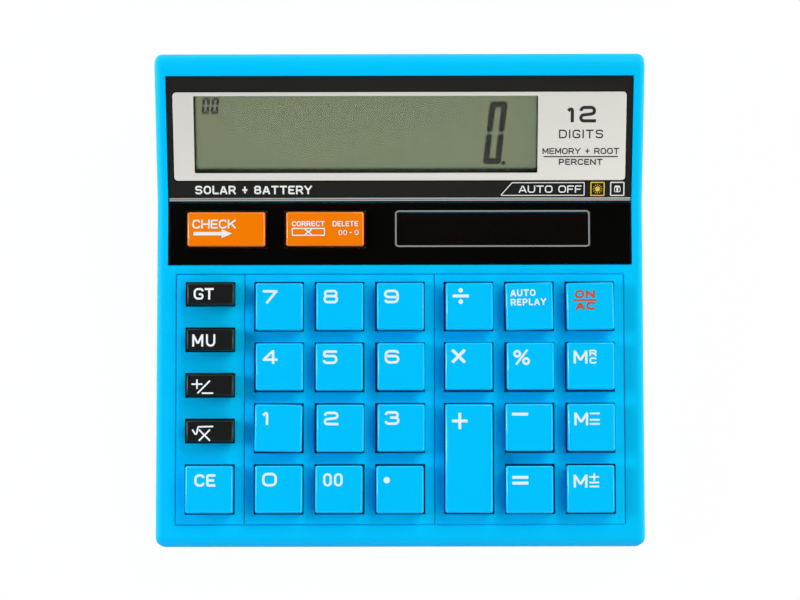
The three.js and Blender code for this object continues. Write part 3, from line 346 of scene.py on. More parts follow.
CASE_EDGE = 0.14 * MM
case_abs = moulded_abs("blue_moulded_abs", "00beee", 0.5, "2cb4f0")
for node, name in (("upper_case", "upper_case_shell"), ("lower_case", "lower_case_tray"),
                   ("battery_door", "battery_door_cover")):
    case_part = softened_copy(node, name, case_abs, CASE_EDGE, 2)

# ---------------- keys
# Hollow moulded caps on rubber domes. Each stands loosely in its well, so it lies a little to one
# side and is turned a little, as far as its clearance lets it.

finish_of = {"key_blue": moulded_abs("blue_key_abs", "00c0f3", 0.42, "2cb4f0", 0.06, 0.5),
             "key_black": moulded_abs("black_key_abs", "0b0c0b", 0.45, "a0a0a0", 0.1, 0.3),
             "key_orange": moulded_abs("orange_key_abs", "ff7d00", 0.3, "f0a030", 0.04, 1.0)}
slot_of = {row["node"]: row["material_slot"] for row in frame["record"]["subparts"]}
key_nodes = sorted(node for node in frame["nodes"] if node.startswith("key_") and node != "key_mat")
KEY_EDGE = 0.12 * MM

# How keys lie in their wells, to the right and to the rear, and how they are turned, all as shares
# of the play. Those not named lie and turn at random.
PLAY = 0.2 * MM
PLAY_TURN = math.radians(0.3)
LIES = {
    "7": (0.9, -0.9), "8": (0.7, -0.7), "9": (0.6, -0.6), "divide": (0.7, -0.8),
    "auto_replay": (-0.2, -0.8), "on_ac": (0.0, -0.8), "4": (1.2, 0.2), "5": (0.0, -0.2),
    "6": (1.3, 0.2), "multiply": (-0.2, 0.6), "percent": (0.7, 0.5), "memory_recall": (0.2, 0.6),
    "1": (0.1, -0.1), "2": (1.3, -0.4), "3": (1.2, 0.0), "minus": (-1.3, 0.3), "0": (0.7, 0.1),
    "equals": (-1.3, -0.7), "memory_plus": (-1.3, 0.0), "grand_total": (1.2, -0.6),
    "mark_up": (0.9, -0.6), "sign": (0.8, -0.4), "root": (0.9, -0.6),
}
TURNS = {"1": -3.0, "auto_replay": 3.8, "on_ac": 2.9, "plus": -0.3, "equals": 0.2}
play = random.Random(7)
key_shift = {}
for node in key_nodes:
    low, high = local_box(node, deck)
    centre = Vector(((low.x + high.x) / 2, (low.y + high.y) / 2, 0))
    at_random = (play.uniform(-0.5, 0.5), play.uniform(-0.5, 0.5))
    label = node.removeprefix("key_")
    slide = Vector((*LIES.get(label, at_random), 0)) * PLAY
    turn = Matrix.Rotation(TURNS.get(label, play.uniform(-0.5, 0.5)) * PLAY_TURN, 4, "Z")
    in_deck = Matrix.Translation(centre + slide) @ turn @ Matrix.Translation(-centre)
    key_shift[node] = in_deck
    cap = softened_copy(node, node + "_cap", finish_of[slot_of[node]], KEY_EDGE, 3,
                        deck @ in_deck @ deck.inverted())

# ---------------- printed legends
# The legends are screen-printed in one colour: a film of ink some hundredths of a millimetre thick,
# in a wide square-round alphabet drawn with strokes of even width. A stroke is a row of points that
# a Geometry Nodes tree turns into a flat band with rounded corners.

ROUND = 0.30
LEFT_BAR, RIGHT_BAR = ("oo", [(0, 0), (0, 1)]), ("oo", [(1, 0), (1, 1)])
# Each letter has its width as a share of the full width, and its strokes: how the two ends finish
# (o: carried out to the edge of the letter, s: cut short there, or ring for a closed stroke), how
# round the corners are where they aren't sharp, and the points in a unit square.
ALPHABET = {
    "0": (1.0, [("ring", ROUND, [(0, 0), (1, 0), (1, 1), (0, 1)])]),
    "1": (0.46, [("ss", [(0, 0.74), (0.9, 1.1), (0.9, -0.1)])]),
    "2": (1.0, [("so", 0.24, [(0, 0.74), (0, 1), (1, 1), (1, 0.54), (0, 0.42), (0, 0), (1, 0)])]),
    "3": (1.0, [("ss", 0.24, [(0, 0.78), (0, 1), (0.95, 1), (0.95, 0.54), (0.34, 0.54)]),
                ("ss", 0.24, [(0.34, 0.54), (1, 0.54), (1, 0), (0, 0), (0, 0.24)])]),
    "4": (1.0, [("oo", [(0.74, 0), (0.74, 1)]), ("so", [(0.68, 1), (0.02, 0.3)]),
                ("oo", [(0, 0.26), (1, 0.26)])]),
    "5": (1.0, [("os", 0.10, [(0.96, 1), (0.04, 1), (0.02, 0.6)]),
                ("ss", 0.24, [(0.0, 0.60), (1, 0.60), (1, 0), (0, 0), (0, 0.24)])]),
    "6": (1.0, [("ss", 0.26, [(0.98, 0.80), (0.98, 1), (0, 1), (0, 0), (1, 0), (1, 0.56),
                              (0.02, 0.56)])]),
    "7": (1.0, [("oo", [(0, 1), (1, 1)]), ("so", [(0.98, 0.98), (0.26, 0)])]),
    "8": (1.0, [("ring", 0.26, [(0, 0), (1, 0), (1, 0.54), (0, 0.54)]),
                ("ring", 0.26, [(0.04, 0.54), (0.96, 0.54), (0.96, 1), (0.04, 1)])]),
    "9": (1.0, [("ss", 0.26, [(0.02, 0.20), (0.02, 0), (1, 0), (1, 1), (0, 1), (0, 0.44),
                              (0.98, 0.44)])]),
    "A": (1.0, [("os", [(0, 0), (0.46, 1.04)]), ("os", [(1, 0), (0.54, 1.04)]),
                ("ss", [(0.2, 0.26), (0.8, 0.26)])]),
    "B": (0.95, [("ring", 0.2, [(0, 0), (1, 0), (1, 0.52), (0, 0.52)]),
                 ("ring", 0.2, [(0, 0.52), (0.95, 0.52), (0.95, 1), (0, 1)])]),
    "C": (0.95, [("ss", ROUND, [(1, 0.74), (1, 1), (0, 1), (0, 0), (1, 0), (1, 0.26)])]),
    "D": (1.0, [("oo", ROUND, [(0, 1), (1, 1), (1, 0), (0, 0)]), LEFT_BAR]),
    "E": (0.85, [("oo", [(1, 1), (0, 1), (0, 0), (1, 0)]), ("os", [(0, 0.5), (1, 0.5)])]),
    "F": (0.85, [("oo", [(1, 1), (0, 1), (0, 0)]), ("os", [(0, 0.48), (0.95, 0.48)])]),
    "G": (1.0, [("ss", ROUND, [(1, 0.76), (1, 1), (0, 1), (0, 0), (1, 0), (1, 0.46),
                               (0.52, 0.46)])]),
    "H": (1.0, [LEFT_BAR, RIGHT_BAR, ("ss", [(0, 0.5), (1, 0.5)])]),
    "I": (0.12, [("oo", [(0.5, 0), (0.5, 1)])]),
    "K": (0.95, [LEFT_BAR, ("os", [(1, 1), (0.12, 0.42)]), ("so", [(0.42, 0.60), (1, 0)])]),
    "L": (0.8, [("oo", [(0, 1), (0, 0), (1, 0)])]),
    "M": (1.05, [LEFT_BAR, RIGHT_BAR,
                 ("ss", [(0.03, 1), (0.5, 0.2)]), ("ss", [(0.97, 1), (0.5, 0.2)])]),
    "N": (1.0, [LEFT_BAR, RIGHT_BAR, ("ss", [(0.03, 1), (0.97, 0)])]),
    "O": (1.0, [("ring", ROUND, [(0, 0), (1, 0), (1, 1), (0, 1)])]),
    "P": (0.92, [("os", ROUND, [(0, 1), (1, 1), (1, 0.42), (0, 0.42)]), LEFT_BAR]),
    "R": (0.95, [("os", ROUND, [(0, 1), (1, 1), (1, 0.44), (0, 0.44)]), LEFT_BAR,
                 ("so", [(0.6, 0.44), (1, 0)])]),
    "S": (0.95, [("ss", 0.24, [(1, 0.78), (1, 1), (0, 1), (0, 0.52), (1, 0.52), (1, 0), (0, 0),
                               (0, 0.22)])]),
    "T": (0.95, [("oo", [(0, 1), (1, 1)]), ("so", [(0.5, 1), (0.5, 0)])]),
    "U": (0.98, [("oo", ROUND, [(0, 1), (0, 0), (1, 0), (1, 1)])]),
    "Y": (1.0, [("os", [(0, 1), (0.52, 0.42)]), ("os", [(1, 1), (0.48, 0.42)]),
                ("so", [(0.5, 0.5), (0.5, 0)])]),
    "+": (0.9, [("ss", [(0, 0.5), (1, 0.5)]), ("ss", [(0.5, 0), (0.5, 1)])]),
}


def stroke(points, width, radius=0, ring=False, ends="oo"):
    """One stroke in millimetres. An end marked o is carried on by half the stroke's width."""
    points = [Vector((x, y)) for x, y in points]
    if not ring and ends[0] == "o":
        points[0] += (points[0] - points[1]).normalized() * (width / 2)
    if not ring and ends[1] == "o":
        points[-1] += (points[-1] - points[-2]).normalized() * (width / 2)
    return {"points": points, "width": width, "radius": max(radius, width * 0.5), "ring": ring}


def box(left, right, front, rear, line, radius):
    """An upright rectangle drawn with one closed stroke."""
    corners = [(left, front), (right, front), (right, rear), (left, rear)]
    return stroke(corners, line, radius, ring=True)


def circle(x, y, radius, sides):
    """The corners of a regular polygon that stands for a circle."""
    turns = [2 * math.pi * side / sides for side in range(sides)]
    return [(x + math.cos(turn) * radius, y + math.sin(turn) * radius) for turn in turns]


DOT_SIDES = 20


def dot(x, y, diameter):
    """A round dot: a ring stroke whose inner edge closes up in the middle."""
    made = stroke(circle(x, y, diameter / 4, DOT_SIDES), diameter / 2, ring=True)
    made["radius"] = 0
    return made


TIP_WIDTH = 0.02


def arrow_head(x, y, length, width):
    """A filled triangle that points along x: a stroke that narrows to nothing."""
    return {"points": [Vector((x, y)), Vector((x + length, y))], "width": width,
            "widths": [width, TIP_WIDTH], "radius": 0, "ring": False}


SPACE_SHARE = 0.6
GAP_SHARE = 0.9


def words(text, left, top, height, width, line, gap=None):
    """The strokes of a line of text, in millimetres, from its left edge and its top edge."""
    gap = line * GAP_SHARE if gap is None else gap
    made = []
    for letter in text:
        if letter == " ":
            left += width * SPACE_SHARE
            continue
        share, parts = ALPHABET[letter]
        wide = max(width * share, line)
        for kind, *radius, points in parts:
            placed = [(left + line / 2 + x * (wide - line),
                       top - height + line / 2 + y * (height - line)) for x, y in points]
            made.append(stroke(placed, line, sum(radius) * height, kind == "ring", kind))
        left += wide + gap
    return made


def centred_words(text, middle, top, height, width, line, gap):
    """A line of text about a middle line."""
    wide = 0
    for letter in text:
        blank = letter == " "
        wide += width * SPACE_SHARE if blank else max(width * ALPHABET[letter][0], line) + gap
    return words(text, middle - (wide - gap) / 2, top, height, width, line, gap)


def tree_with_inputs(name, **kinds):
    """A Geometry Nodes tree with a geometry input and output and the inputs asked for."""
    tree = bpy.data.node_groups.new(name, "GeometryNodeTree")
    tree.interface.new_socket("Geometry", in_out="OUTPUT", socket_type="NodeSocketGeometry")
    for label, kind in {"Geometry": "Geometry", **kinds}.items():
        tree.interface.new_socket(label, in_out="INPUT", socket_type="NodeSocket" + kind)
    return tree, tree.nodes.new("NodeGroupInput").outputs


# The film's thickness is a share of the stroke's width. Each stroke of a legend lies a layer higher
# than the one before, so that no two faces share a place where strokes cross.
FILM_SHARE = 0.05
INK_LAYER = 0.004 * MM
CORNER_POINTS = 5
ink_tree, given = tree_with_inputs("printed_strokes", Ink="Material", Corners="Int")
lines = add(ink_tree, "GeometryNodeMeshToCurve", {"Mesh": given["Geometry"]})
corner = add(ink_tree, "GeometryNodeInputNamedAttribute",
             {"Name": "corner_radius"}, data_type="FLOAT")
rounded = add(ink_tree, "GeometryNodeFilletCurve",
              {"Curve": lines, "Count": given["Corners"],
               "Radius": corner, "Limit Radius": True}, mode="POLY")
wide = add(ink_tree, "GeometryNodeInputNamedAttribute", {"Name": "stroke_width"}, data_type="FLOAT")
upright = add(ink_tree, "GeometryNodeSetCurveNormal", {"Curve": rounded}, mode="Z_UP")
band = add(ink_tree, "GeometryNodeCurvePrimitiveQuadrilateral",
           {"Width": 1.0, "Height": FILM_SHARE}, mode="RECTANGLE")
film = add(ink_tree, "GeometryNodeCurveToMesh",
           {"Curve": upright, "Profile Curve": band, "Scale": wide, "Fill Caps": True})
whole = add(ink_tree, "GeometryNodeRealizeInstances", {"Geometry": film})
inked = add(ink_tree, "GeometryNodeSetMaterial",
            {"Geometry": whole, "Material": given["Ink"]})
add(ink_tree, "NodeGroupOutput", {"Geometry": inked})


def baked(source, place):
    """The finished mesh of an object with live modifiers, moved into place; the object goes."""
    bpy.context.view_layer.update()
    ready = source.evaluated_get(bpy.context.evaluated_depsgraph_get())
    mesh = bpy.data.meshes.new_from_object(ready)
    mesh.transform(place)
    name = source.name
    bpy.data.objects.remove(source)
    mesh.name = name
    return in_scene(name, mesh)


def run_tree(source, tree, values):
    """Gives an object a Geometry Nodes modifier, with values for the inputs of its tree."""
    modifier = source.modifiers.new(tree.name, "NODES")
    modifier.node_group = tree
    for socket in tree.interface.items_tree:
        if socket.item_type == "SOCKET" and socket.in_out == "INPUT" and socket.name in values:
            modifier[socket.identifier] = values[socket.name]


def printed(name, strokes, ink, place, body):
    """A printed legend: strokes in millimetres on the plane of a frame, riding on a body."""
    points, edges, widths, radii = [], [], [], []
    for number, made in enumerate(strokes):
        first = len(points)
        height = INK_LAYER * (number + 2) + made["width"] * MM * FILM_SHARE / 2
        points += [(x * MM, y * MM, height) for x, y in made["points"]]
        count = len(made["points"])
        edges += [(first + i, first + i + 1) for i in range(count - 1)]
        if made["ring"]:
            edges.append((first + count - 1, first))
        widths += [width * MM for width in made.get("widths", [made["width"]] * count)]
        radii += [made["radius"] * MM] * count
    mesh = bpy.data.meshes.new(name)
    mesh.from_pydata(points, edges, [])
    mesh.attributes.new("stroke_width", "FLOAT", "POINT").data.foreach_set("value", widths)
    mesh.attributes.new("corner_radius", "FLOAT", "POINT").data.foreach_set("value", radii)
    source = in_scene(name, mesh)
    run_tree(source, ink_tree, {"Ink": ink, "Corners": CORNER_POINTS})
    film = baked(source, place)
    film.data.shade_flat()
    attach(film, body)


def screen_ink(name, hex_colour):
    """Screen ink: an opaque, flat, satin film, faintly uneven from the mesh of the screen."""
    material, tree, place = patterned_material(name)
    screen_size = 0.12 * MM
    weave = add(tree, "ShaderNodeTexNoise", {"Vector": place, "Scale": 1 / screen_size})
    relief = add(tree, "ShaderNodeBump", {"Height": weave, "Strength": 0.05, "Distance": 0.01 * MM})
    film = add(tree, "ShaderNodeBsdfPrincipled",
               {"Base Color": linear(hex_colour), "Roughness": 0.45, "Specular IOR Level": 0.3,
                "Normal": relief})
    add(tree, "ShaderNodeOutputMaterial", {"Surface": film})
    return material


warm_white_ink = screen_ink("warm_white_screen_ink", "ece7db")
ink_on = {"key_blue": screen_ink("sheer_white_screen_ink", "e3ece6"),
          "key_black": screen_ink("white_screen_ink", "f0eeea"), "key_orange": warm_white_ink}
red_ink = screen_ink("orange_red_screen_ink", "c4520e")


def bars(x, tops, length, line):
    """Level strokes, one for each height given: their left end, length and width in millimetres."""
    return [stroke([(x + line / 2, top), (x + length - line / 2, top)], line) for top in tops]


# A digit is 3.9 mm wide and 3.6 mm high and starts 1.9 mm in and 1.85 mm down from the cap's rear
# left corner, where every legend is measured from.
LEFT, TOP, TALL, WIDE, LINE = 1.9, -1.85, 3.58, 3.88, 0.64
legends = {digit: words(digit, LEFT, TOP, TALL, WIDE, LINE) for digit in "0123456789"}
legends["00"] = words("00", 2.1, -1.97, 3.47, 2.28, 0.58, 0.55)
legends["point"] = [dot(2.75, -3.74, 1.68)]
legends["plus"] = [stroke([(2.12, -4.42), (5.45, -4.42)], 0.75),
                   stroke([(3.78, -2.66), (3.78, -6.18)], 0.75)]
legends["minus"] = bars(1.63, [-2.72], 4.27, 0.74)
legends["multiply"] = [stroke([(2.11, -2.2), (4.87, -4.98)], 0.8),
                       stroke([(2.11, -4.98), (4.87, -2.2)], 0.8)]
legends["divide"] = bars(1.78, [-3.5], 4.3, 0.8) + [dot(3.93, -2.0, 1.2), dot(3.93, -5.0, 1.2)]
legends["equals"] = bars(1.67, [-2.98, -4.5], 4.2, 0.76)
legends["percent"] = [
    box(2.0, 3.44, -2.25, -3.69, 0.6, 0.7), box(4.33, 5.77, -4.19, -5.63, 0.6, 0.7),
    stroke([(2.6, -5.55), (5.22, -2.15)], 0.55),
]
legends["auto_replay"] = (words("AUTO", 1.25, -1.76, 1.82, 1.47, 0.38, 0.28)
                          + words("REPLAY", 1.27, -4.2, 1.8, 1.43, 0.38, 0.29))
legends["on_ac"] = (words("ON", 2.2, -2.0, 2.1, 2.4, 0.55, 0.45) + bars(1.7, [-4.62], 6.25, 0.5)
                    + words("AC", 2.3, -5.1, 2.08, 2.4, 0.55, 0.45))
legends["memory_recall"] = (words("M", 1.65, -2.16, 3.42, 3.45, 0.6)
                            + words("R", 5.8, -1.97, 1.66, 1.98, 0.42)
                            + words("C", 5.8, -3.98, 1.66, 1.98, 0.42))
legends["memory_minus"] = (words("M", 1.72, -2.3, 3.38, 3.45, 0.6)
                           + bars(5.8, [-2.56, -4.24, -5.3], 2.58, 0.44))
legends["memory_plus"] = (words("M", 1.7, -2.45, 3.38, 3.45, 0.6)
                          + bars(5.82, [-3.06, -4.52, -5.56], 2.54, 0.44)
                          + [stroke([(7.12, -2.25), (7.12, -3.9)], 0.44)])
legends["clear_entry"] = words("CE", 2.4, -2.17, 3.25, 2.85, 0.62, 0.42)
legends["grand_total"] = (words("G", 1.77, -1.33, 3.06, 2.65, 0.54)
                          + words("T", 4.7, -1.33, 3.06, 2.48, 0.54))
legends["mark_up"] = (words("M", 1.53, -1.5, 3.25, 2.76, 0.52)
                      + words("U", 5.14, -1.5, 3.25, 2.5, 0.52))
legends["sign"] = [
    stroke([(1.63, -2.6), (4.07, -2.6)], 0.42), stroke([(2.85, -1.58), (2.85, -3.62)], 0.42),
    stroke([(3.15, -4.85), (6.1, -1.85)], 0.42), stroke([(4.35, -4.97), (6.92, -4.97)], 0.42),
]
legends["root"] = [
    stroke([(1.79, -2.6), (2.41, -3.62), (2.77, -3.62), (3.19, -1.72), (6.95, -1.62)], 0.42),
    stroke([(3.55, -2.6), (6.15, -5.2)], 0.42), stroke([(3.55, -5.2), (6.15, -2.6)], 0.42),
]
legends["check"] = words("CHECK", 1.3, -2.02, 2.38, 2.24, 0.43, 0.25) + [
    stroke([(2.1, -5.76), (8.9, -5.76)], 0.95), arrow_head(9.1, -5.76, 2.75, 2.4),
]
legends["correct"] = (
    words("CORRECT", 1.5, -2.5, 1.4, 1.18, 0.29, 0.155)
    + words("DELETE", 12.3, -2.5, 1.42, 1.14, 0.28, 0.15)
    + words("00", 13.87, -4.9, 1.33, 1.02, 0.24, 0.25) + bars(16.75, [-5.56], 0.7, 0.22)
    + words("0", 18.15, -4.9, 1.33, 1.1, 0.24)
    + [box(1.65, 10.15, -4.5, -6.3, 0.34, 0.1),
       stroke([(5.1, -4.8), (6.7, -6.0)], 0.34), stroke([(5.1, -6.0), (6.7, -4.8)], 0.34)])

# The flat top of a cap starts this far below its highest face, where its rounded edge ends.
CAP_ROUND = 0.6 * MM


def cap_corner(node):
    """The rear left corner of the top face of a cap, in the deck's frame."""
    points = [deck.inverted() @ vertex.co for vertex in frame["nodes"][node].data.vertices]
    height = max(point.z for point in points)
    walls = [point for point in points if point.z > height - CAP_ROUND]
    return Vector((min(point.x for point in walls), max(point.y for point in walls), height))


for node in key_nodes:
    label = node.removeprefix("key_")
    corner_place = deck @ key_shift[node] @ Matrix.Translation(cap_corner(node))
    legend_ink = red_ink if label == "on_ac" else ink_on[slot_of[node]]
    printed("legend_" + label, legends[label], legend_ink, corner_place,
            frame["nodes"][node]["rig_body"])

# ---------------- display panel and its plate
# A glossy black acrylic panel carries a thin silver plate, printed beside and below the view.
# The acrylic is dyed through and mirrors the room faintly; the plate is brushed and satin-clear.


def dyed_acrylic(name, hex_colour, roughness, specular, alpha=1.0):
    """Cast acrylic dyed through: a flat, polished face with a faint ripple from casting."""
    material, tree, place = patterned_material(name)
    ripple_size = 9 * MM
    ripple = add(tree, "ShaderNodeTexNoise", {"Vector": place, "Scale": 1 / ripple_size})
    relief = add(tree, "ShaderNodeBump",
                 {"Height": ripple, "Strength": 0.04, "Distance": 0.05 * MM})
    haze_size = 40 * MM
    haze = add(tree, "ShaderNodeTexNoise", {"Vector": place, "Scale": 1 / haze_size, "Detail": 3})
    hazes = add(tree, "ShaderNodeMapRange", {"Value": haze, "To Min": 0.6, "To Max": 1.4})
    dye = add(tree, "ShaderNodeVectorMath",
              {"Vector": linear(hex_colour)[:3], "Scale": hazes}, operation="SCALE")
    acrylic = add(tree, "ShaderNodeBsdfPrincipled",
                  {"Base Color": dye, "Roughness": roughness, "IOR": 1.49,
                   "Specular IOR Level": specular, "Alpha": alpha, "Normal": relief})
    add(tree, "ShaderNodeOutputMaterial", {"Surface": acrylic})
    return material


def satin_metal(name, hex_colour, roughness):
    """Rolled metal, satin: fine lines along x that stretch and soften what it mirrors."""
    material, tree, place = patterned_material(name)
    line_length, line_width = 14 * MM, 0.08 * MM
    drawn = add(tree, "ShaderNodeMapping",
                {"Vector": place, "Scale": (1 / line_length, 1 / line_width, 1 / line_width)})
    lines = add(tree, "ShaderNodeTexNoise", {"Vector": drawn, "Scale": 1.0, "Detail": 2})
    sheen = add(tree, "ShaderNodeMapRange",
                {"Value": lines, "To Min": roughness - 0.06, "To Max": roughness + 0.06})
    relief = add(tree, "ShaderNodeBump", {"Height": lines, "Strength": 0.12, "Distance": 0.01 * MM})
    metal = add(tree, "ShaderNodeBsdfPrincipled",
                {"Base Color": linear(hex_colour), "Metallic": 1.0, "Roughness": sheen,
                 "Normal": relief})
    add(tree, "ShaderNodeOutputMaterial", {"Surface": metal})
    return material


def top_face(node, slope):
    """The frame of a slope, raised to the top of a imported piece."""
    return slope @ Matrix.Translation((0, 0, local_box(node, slope)[1].z))


# The panels have a broken edge, and the sheets of glass and clear windows a finer one.
PANEL_EDGE = 0.07 * MM
PLATE_EDGE = 0.13 * MM
GLASS_EDGE = 0.05 * MM
upper_acrylic = dyed_acrylic("black_acrylic_panel", "13120d", 0.16, 0.16)
bezel = softened_copy("display_bezel", "display_bezel_panel", upper_acrylic, PANEL_EDGE, 2)
plate_metal = satin_metal("satin_aluminium_plate", "e8e6e1", 0.36)
plate = softened_copy("display_frame", "silver_plate", plate_metal, PLATE_EDGE, 2)
case_body = frame["nodes"]["display_bezel"]["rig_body"]

# Its print: the digit count, what the machine works out, and how it is powered.
black_ink = screen_ink("black_screen_ink", "1d1d1c")
yellow_ink = screen_ink("yellow_screen_ink", "e8be30")
PLATE_MIDDLE = 47.9
plate_print = centred_words("12", PLATE_MIDDLE, 25.6, 4.4, 4.4, 0.85, 1.3)
plate_print += centred_words("DIGITS", PLATE_MIDDLE, 19.3, 2.3, 2.1, 0.36, 0.55)
plate_print += centred_words("MEMORY + ROOT", PLATE_MIDDLE, 14.4, 1.6, 1.5, 0.27, 0.24)
plate_print += [stroke([(38.2, 12.1), (57.6, 12.1)], 0.26)]
plate_print += centred_words("PERCENT", PLATE_MIDDLE, 11.5, 1.6, 1.5, 0.27, 0.3)
printed("plate_print", plate_print, black_ink, top_face("display_frame", display), case_body)

bezel_face = top_face("display_bezel", display)
strip_print = words("SOLAR + BATTERY", -54.3, 4.45, 2.3, 2.0, 0.46, 0.34)
strip_print += [stroke([(26.8, 1.75), (29.8, 5.15), (48.95, 5.15), (48.95, 1.75)],
                       0.24, 0.05, ring=True)]
strip_print += words("AUTO OFF", 31.6, 4.4, 1.95, 2.05, 0.32, 0.3)
printed("strip_print", strip_print, warm_white_ink, bezel_face, case_body)

# The sun and cell signs, each in its box.
SIGN_SIDE = 3.5
SIGN_Y = 3.42
SUN_X, CELL_X = 52.5, 57.75
SIGN_LINE, SIGN_ROUND = 0.3, 0.1
SUN_WIDE, SUN_RAYS, RAY_FROM, RAY_TO, RAY_LINE = 1.35, 12, 0.98, 1.18, 0.17
CELL_LINE, CELL_ROUND, CELL_HALF = 0.2, 0.3, 0.75
CELL_TOP, CELL_BOTTOM = SIGN_Y + 0.62, SIGN_Y - 0.78
POLE_LINE, POLE_HALF = 0.5, 0.4


def sign_box(middle_x):
    """The square outline that each sign stands in."""
    half = SIGN_SIDE / 2
    return box(middle_x - half, middle_x + half, SIGN_Y - half, SIGN_Y + half,
               SIGN_LINE, SIGN_ROUND)


sun_rays = zip(circle(SUN_X, SIGN_Y, RAY_FROM, SUN_RAYS), circle(SUN_X, SIGN_Y, RAY_TO, SUN_RAYS))
sun_print = [sign_box(SUN_X), dot(SUN_X, SIGN_Y, SUN_WIDE)]
sun_print += [stroke(ray, RAY_LINE) for ray in sun_rays]
printed("sun_sign", sun_print, yellow_ink, bezel_face, case_body)
cell_print = [
    sign_box(CELL_X),
    box(CELL_X - CELL_HALF, CELL_X + CELL_HALF, CELL_TOP, CELL_BOTTOM, CELL_LINE, CELL_ROUND),
    stroke([(CELL_X - POLE_HALF, CELL_TOP), (CELL_X + POLE_HALF, CELL_TOP)], POLE_LINE),
    stroke([(CELL_X, CELL_BOTTOM + 0.3), (CELL_X, CELL_BOTTOM + 0.75)], POLE_LINE),
]
printed("cell_sign", cell_print, warm_white_ink, bezel_face, case_body)

# ---------------- liquid crystal display
# Two sheets of glass under a clear window, with a grey-green polariser over the whole face. Driven
# segments look soft charcoal. The idle digits show only as a breath darker than the ground.

clear_acrylic = dyed_acrylic("clear_acrylic_window", "0d0d0d", 0.05, 0.8, alpha=0.08)
window = softened_copy("display_window", "clear_window", clear_acrylic, GLASS_EDGE, 1)

# The polariser is satin and mirrors the room through its tint, so it is set as a tinted metal.
POLARISER = {"Roughness": 0.17, "Metallic": 0.86}
lcd_material, tree, place = patterned_material("grey_green_polariser_on_glass")
cloud_size = 11 * MM
clouds = add(tree, "ShaderNodeTexNoise", {"Vector": place, "Scale": 1 / cloud_size, "Detail": 1})
shade = add(tree, "ShaderNodeMix",
            {"Factor": clouds, 6: linear("929b77"), 7: linear("8e9a7c")}, data_type="RGBA")
film = add(tree, "ShaderNodeBsdfPrincipled", {"Base Color": shade.outputs[2], **POLARISER})
add(tree, "ShaderNodeOutputMaterial", {"Surface": film})
lcd = softened_copy("lcd_panel", "lcd_glass_stack", lcd_material, GLASS_EDGE, 1)

DIGIT_SLANT = math.tan(math.radians(6.3))
MITRE_SHARE = 0.42


def digit_segments(width, height, line, gap):
    """The outlines of the seven mitred segments of a slanted digit, in millimetres."""
    cut, half, middle = MITRE_SHARE * line, line / 2, height / 2
    upright = [(0, middle + gap + cut), (0, height - cut),
               ((cut - gap) / 2, height - (cut + gap) / 2), (line, height - line - gap),
               (line, middle + gap + cut), (half, middle + gap)]
    level = [((cut + gap) / 2, height - (cut - gap) / 2), (cut, height), (width - cut, height),
             (width - (cut + gap) / 2, height - (cut - gap) / 2),
             (width - line - gap, height - line), (line + gap, height - line)]
    bar = [(half + gap, middle), (line, middle + half), (width - line, middle + half),
           (width - half - gap, middle), (width - line, middle - half), (line, middle - half)]
    upright_low = [(x, height - y) for x, y in upright]
    flat = {"a": level, "d": [(x, height - y) for x, y in level], "g": bar,
            "f": upright, "b": [(width - x, y) for x, y in upright],
            "e": upright_low, "c": [(width - x, y) for x, y in upright_low]}
    return {name: [(x + y * DIGIT_SLANT, y) for x, y in outline] for name, outline in flat.items()}


def film_shapes(name, outlines, material):
    """Flat shapes given by their outlines in millimetres, as one mesh without thickness."""
    mesh = bpy.data.meshes.new(name)
    points, faces = [], []
    for outline in outlines:
        faces.append(list(range(len(points), len(points) + len(outline))))
        points += [(x * MM, y * MM, 0) for x, y in outline]
    mesh.from_pydata(points, [], faces)
    shape = bmesh.new()
    shape.from_mesh(mesh)
    for face in shape.faces:
        if face.normal.z < 0:
            face.normal_flip()
    shape.to_mesh(mesh)
    shape.free()
    mesh.materials.append(material)
    return in_scene(name, mesh)


def polariser_shade(name, hex_colour, alpha):
    """A liquid crystal segment: a flat tint over the ground, with no surface of its own."""
    material, tree, place = patterned_material(name)
    cloud_size = 2 * MM
    cloud = add(tree, "ShaderNodeTexNoise", {"Vector": place, "Scale": 1 / cloud_size})
    strength = add(tree, "ShaderNodeMapRange",
                   {"Value": cloud, "To Min": alpha * 0.95, "To Max": alpha})
    tint = add(tree, "ShaderNodeBsdfPrincipled",
               {"Base Color": linear(hex_colour), "Alpha": strength, **POLARISER})
    add(tree, "ShaderNodeOutputMaterial", {"Surface": tint})
    return material


lcd_face = top_face("lcd_panel", display)
DIGITS_ACROSS = 12
DIGIT_PITCH = 6.5
DIGIT_WIDTH, DIGIT_HEIGHT, DIGIT_LINE, DIGIT_GAP = 4.6, 16.65, 1.46, 0.08
DIGIT_X, DIGIT_Y = 22.2, 9.55
segments = digit_segments(DIGIT_WIDTH, DIGIT_HEIGHT, DIGIT_LINE, DIGIT_GAP)
driven = polariser_shade("driven_crystal_segment", "3b3f3a", 0.93)
# A fainter tint for the painted shadow round the driven segments.
painted_segment_shadow = polariser_shade("crystal_segment_shadow", "3b3f3a", 0.35)
faint = polariser_shade("small_crystal_segment", "44463f", 0.88)
idle = polariser_shade("idle_crystal_segment", "5a6350", 0.012)
NOUGHT = "abcdef"
SHADOW_HEIGHT, IDLE_HEIGHT, DRIVEN_HEIGHT = 0.01, 0.02, 0.03


def on_glass(x, y, height):
    """A place on the face of the glass, in millimetres."""
    return lcd_face @ Matrix.Translation((x * MM, y * MM, height * MM))


def shown(name, outlines, material, x, y, height=DRIVEN_HEIGHT):
    """Segments placed on the face of the glass."""
    made = film_shapes(name, outlines, material)
    made.data.transform(on_glass(x, y, height))
    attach(made, case_body)
